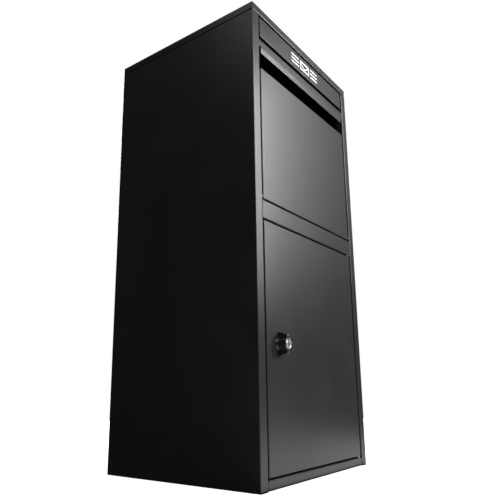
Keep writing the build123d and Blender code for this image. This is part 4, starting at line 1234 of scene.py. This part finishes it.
# ---------------------------------------------------------------- floor and lights
# A plain white floor under soft studio light: softboxes in front, to the right and behind, a
# weak one on the left, and a low one on the floor that lights the front from below.
FLOOR_RADIUS = 2.2
FLOOR_STEPS = 96
FLOOR_GLOW = 0.80
FILL = 0.045
LAMP_DISTANCE = 2.6
BOUNCE_AHEAD = 0.61
BOUNCE_LEVEL = 0.001
PAPER_DARK = (0.80, 0.80, 0.80)
PAPER_LIGHT = (0.84, 0.84, 0.84)


def pale_paper():
    """Matt white floor with a faint cloud in it and a glow of its own."""
    material = finish("pale_floor", 0.9)
    tint(material, grain(material, waves=1.5), PAPER_DARK, PAPER_LIGHT)
    shader = material.node_tree.nodes["Principled BSDF"]
    shader.inputs["Emission Color"].default_value = (1, 1, 1, 1)
    shader.inputs["Emission Strength"].default_value = FLOOR_GLOW
    return material


def softbox(name, width, height, power):
    """Rectangular studio lamp that the camera doesn't see."""
    lamp = bpy.data.lights.new(name, "AREA")
    lamp.shape = "RECTANGLE"
    lamp.size = width
    lamp.size_y = height
    lamp.energy = power
    holder = bpy.data.objects.new(name, lamp)
    holder.visible_camera = False
    bpy.context.scene.collection.objects.link(holder)
    return holder


floor_mesh = bmesh.new()
bmesh.ops.create_circle(floor_mesh, cap_ends=True, radius=FLOOR_RADIUS, segments=FLOOR_STEPS)
floor = mesh_object("studio_floor", floor_mesh)
floor.data.materials.append(pale_paper())
floor.visible_diffuse = False
floor.visible_glossy = False

# The surroundings are white to the camera, and a dim even fill to everything else.
world = bpy.data.worlds.new("studio")
bpy.context.scene.world = world
world.use_nodes = True
links = world.node_tree.links
fill = world.node_tree.nodes["Background"]
fill.inputs["Color"].default_value = (1, 1, 1, 1)
fill.inputs["Strength"].default_value = FILL
paper = world.node_tree.nodes.new("ShaderNodeBackground")
paper.inputs["Color"].default_value = (1, 1, 1, 1)
seen = world.node_tree.nodes.new("ShaderNodeLightPath")
backdrop = world.node_tree.nodes.new("ShaderNodeMixShader")
links.new(seen.outputs["Is Camera Ray"], backdrop.inputs["Fac"])
links.new(fill.outputs["Background"], backdrop.inputs[1])
links.new(paper.outputs["Background"], backdrop.inputs[2])
links.new(backdrop.outputs["Shader"], world.node_tree.nodes["World Output"].inputs["Surface"])
bpy.context.scene.view_settings.view_transform = "Standard"

box_middle = (cad_box[0] + cad_box[1]) / 2
for name, azimuth, elevation, width, height, power in (
    ("tall_softbox", -52, 23, 0.40, 1.30, 51),
    ("front_softbox", -100, 30, 0.90, 0.90, 50),
    ("left_softbox", 165, 50, 0.90, 0.90, 3.5),
    ("back_softbox", 72, 30, 1.60, 1.60, 110),
    ("right_softbox", 12, 25, 1.40, 1.40, 60),
):
    lamp = softbox(name, width, height, power)
    turn = math.radians(azimuth)
    rise = math.radians(elevation)
    flat_way = Vector((math.cos(turn), math.sin(turn), 0)) * math.cos(rise)
    way = flat_way + Vector((0, 0, math.sin(rise)))
    lamp.location = box_middle + way * LAMP_DISTANCE
    lamp.rotation_euler = (-way).to_track_quat("-Z", "Y").to_euler()
floor_bounce = softbox("floor_bounce", width=1.6, height=1.2, power=7)
floor_bounce.location = (0, front - BOUNCE_AHEAD, BOUNCE_LEVEL)
floor_bounce.rotation_euler = (math.pi, 0, 0)

# ---------------------------------------------------------------- camera
# The camera stands low and left of the front. It looks up a little at the box, and the lens
# is shifted, so that the whole box stays in the picture.
EYE = (-1.0335, -0.7616, 0.1792)
LOOK = (0.78295, 0.58064, 0.22325)
ROLL = math.radians(-0.6)
lens = bpy.data.cameras.new("camera")
lens.sensor_width = 36.0
lens.lens = 37.9
lens.shift_x = 0.022
lens.shift_y = 0.038
camera = bpy.data.objects.new("camera", lens)
bpy.context.scene.collection.objects.link(camera)
bpy.context.scene.camera = camera
level_look = Vector(LOOK).to_track_quat("-Z", "Y")
camera.rotation_mode = "QUATERNION"
camera.rotation_quaternion = level_look @ Matrix.Rotation(ROLL, 3, "Z").to_quaternion()
camera.location = EYE
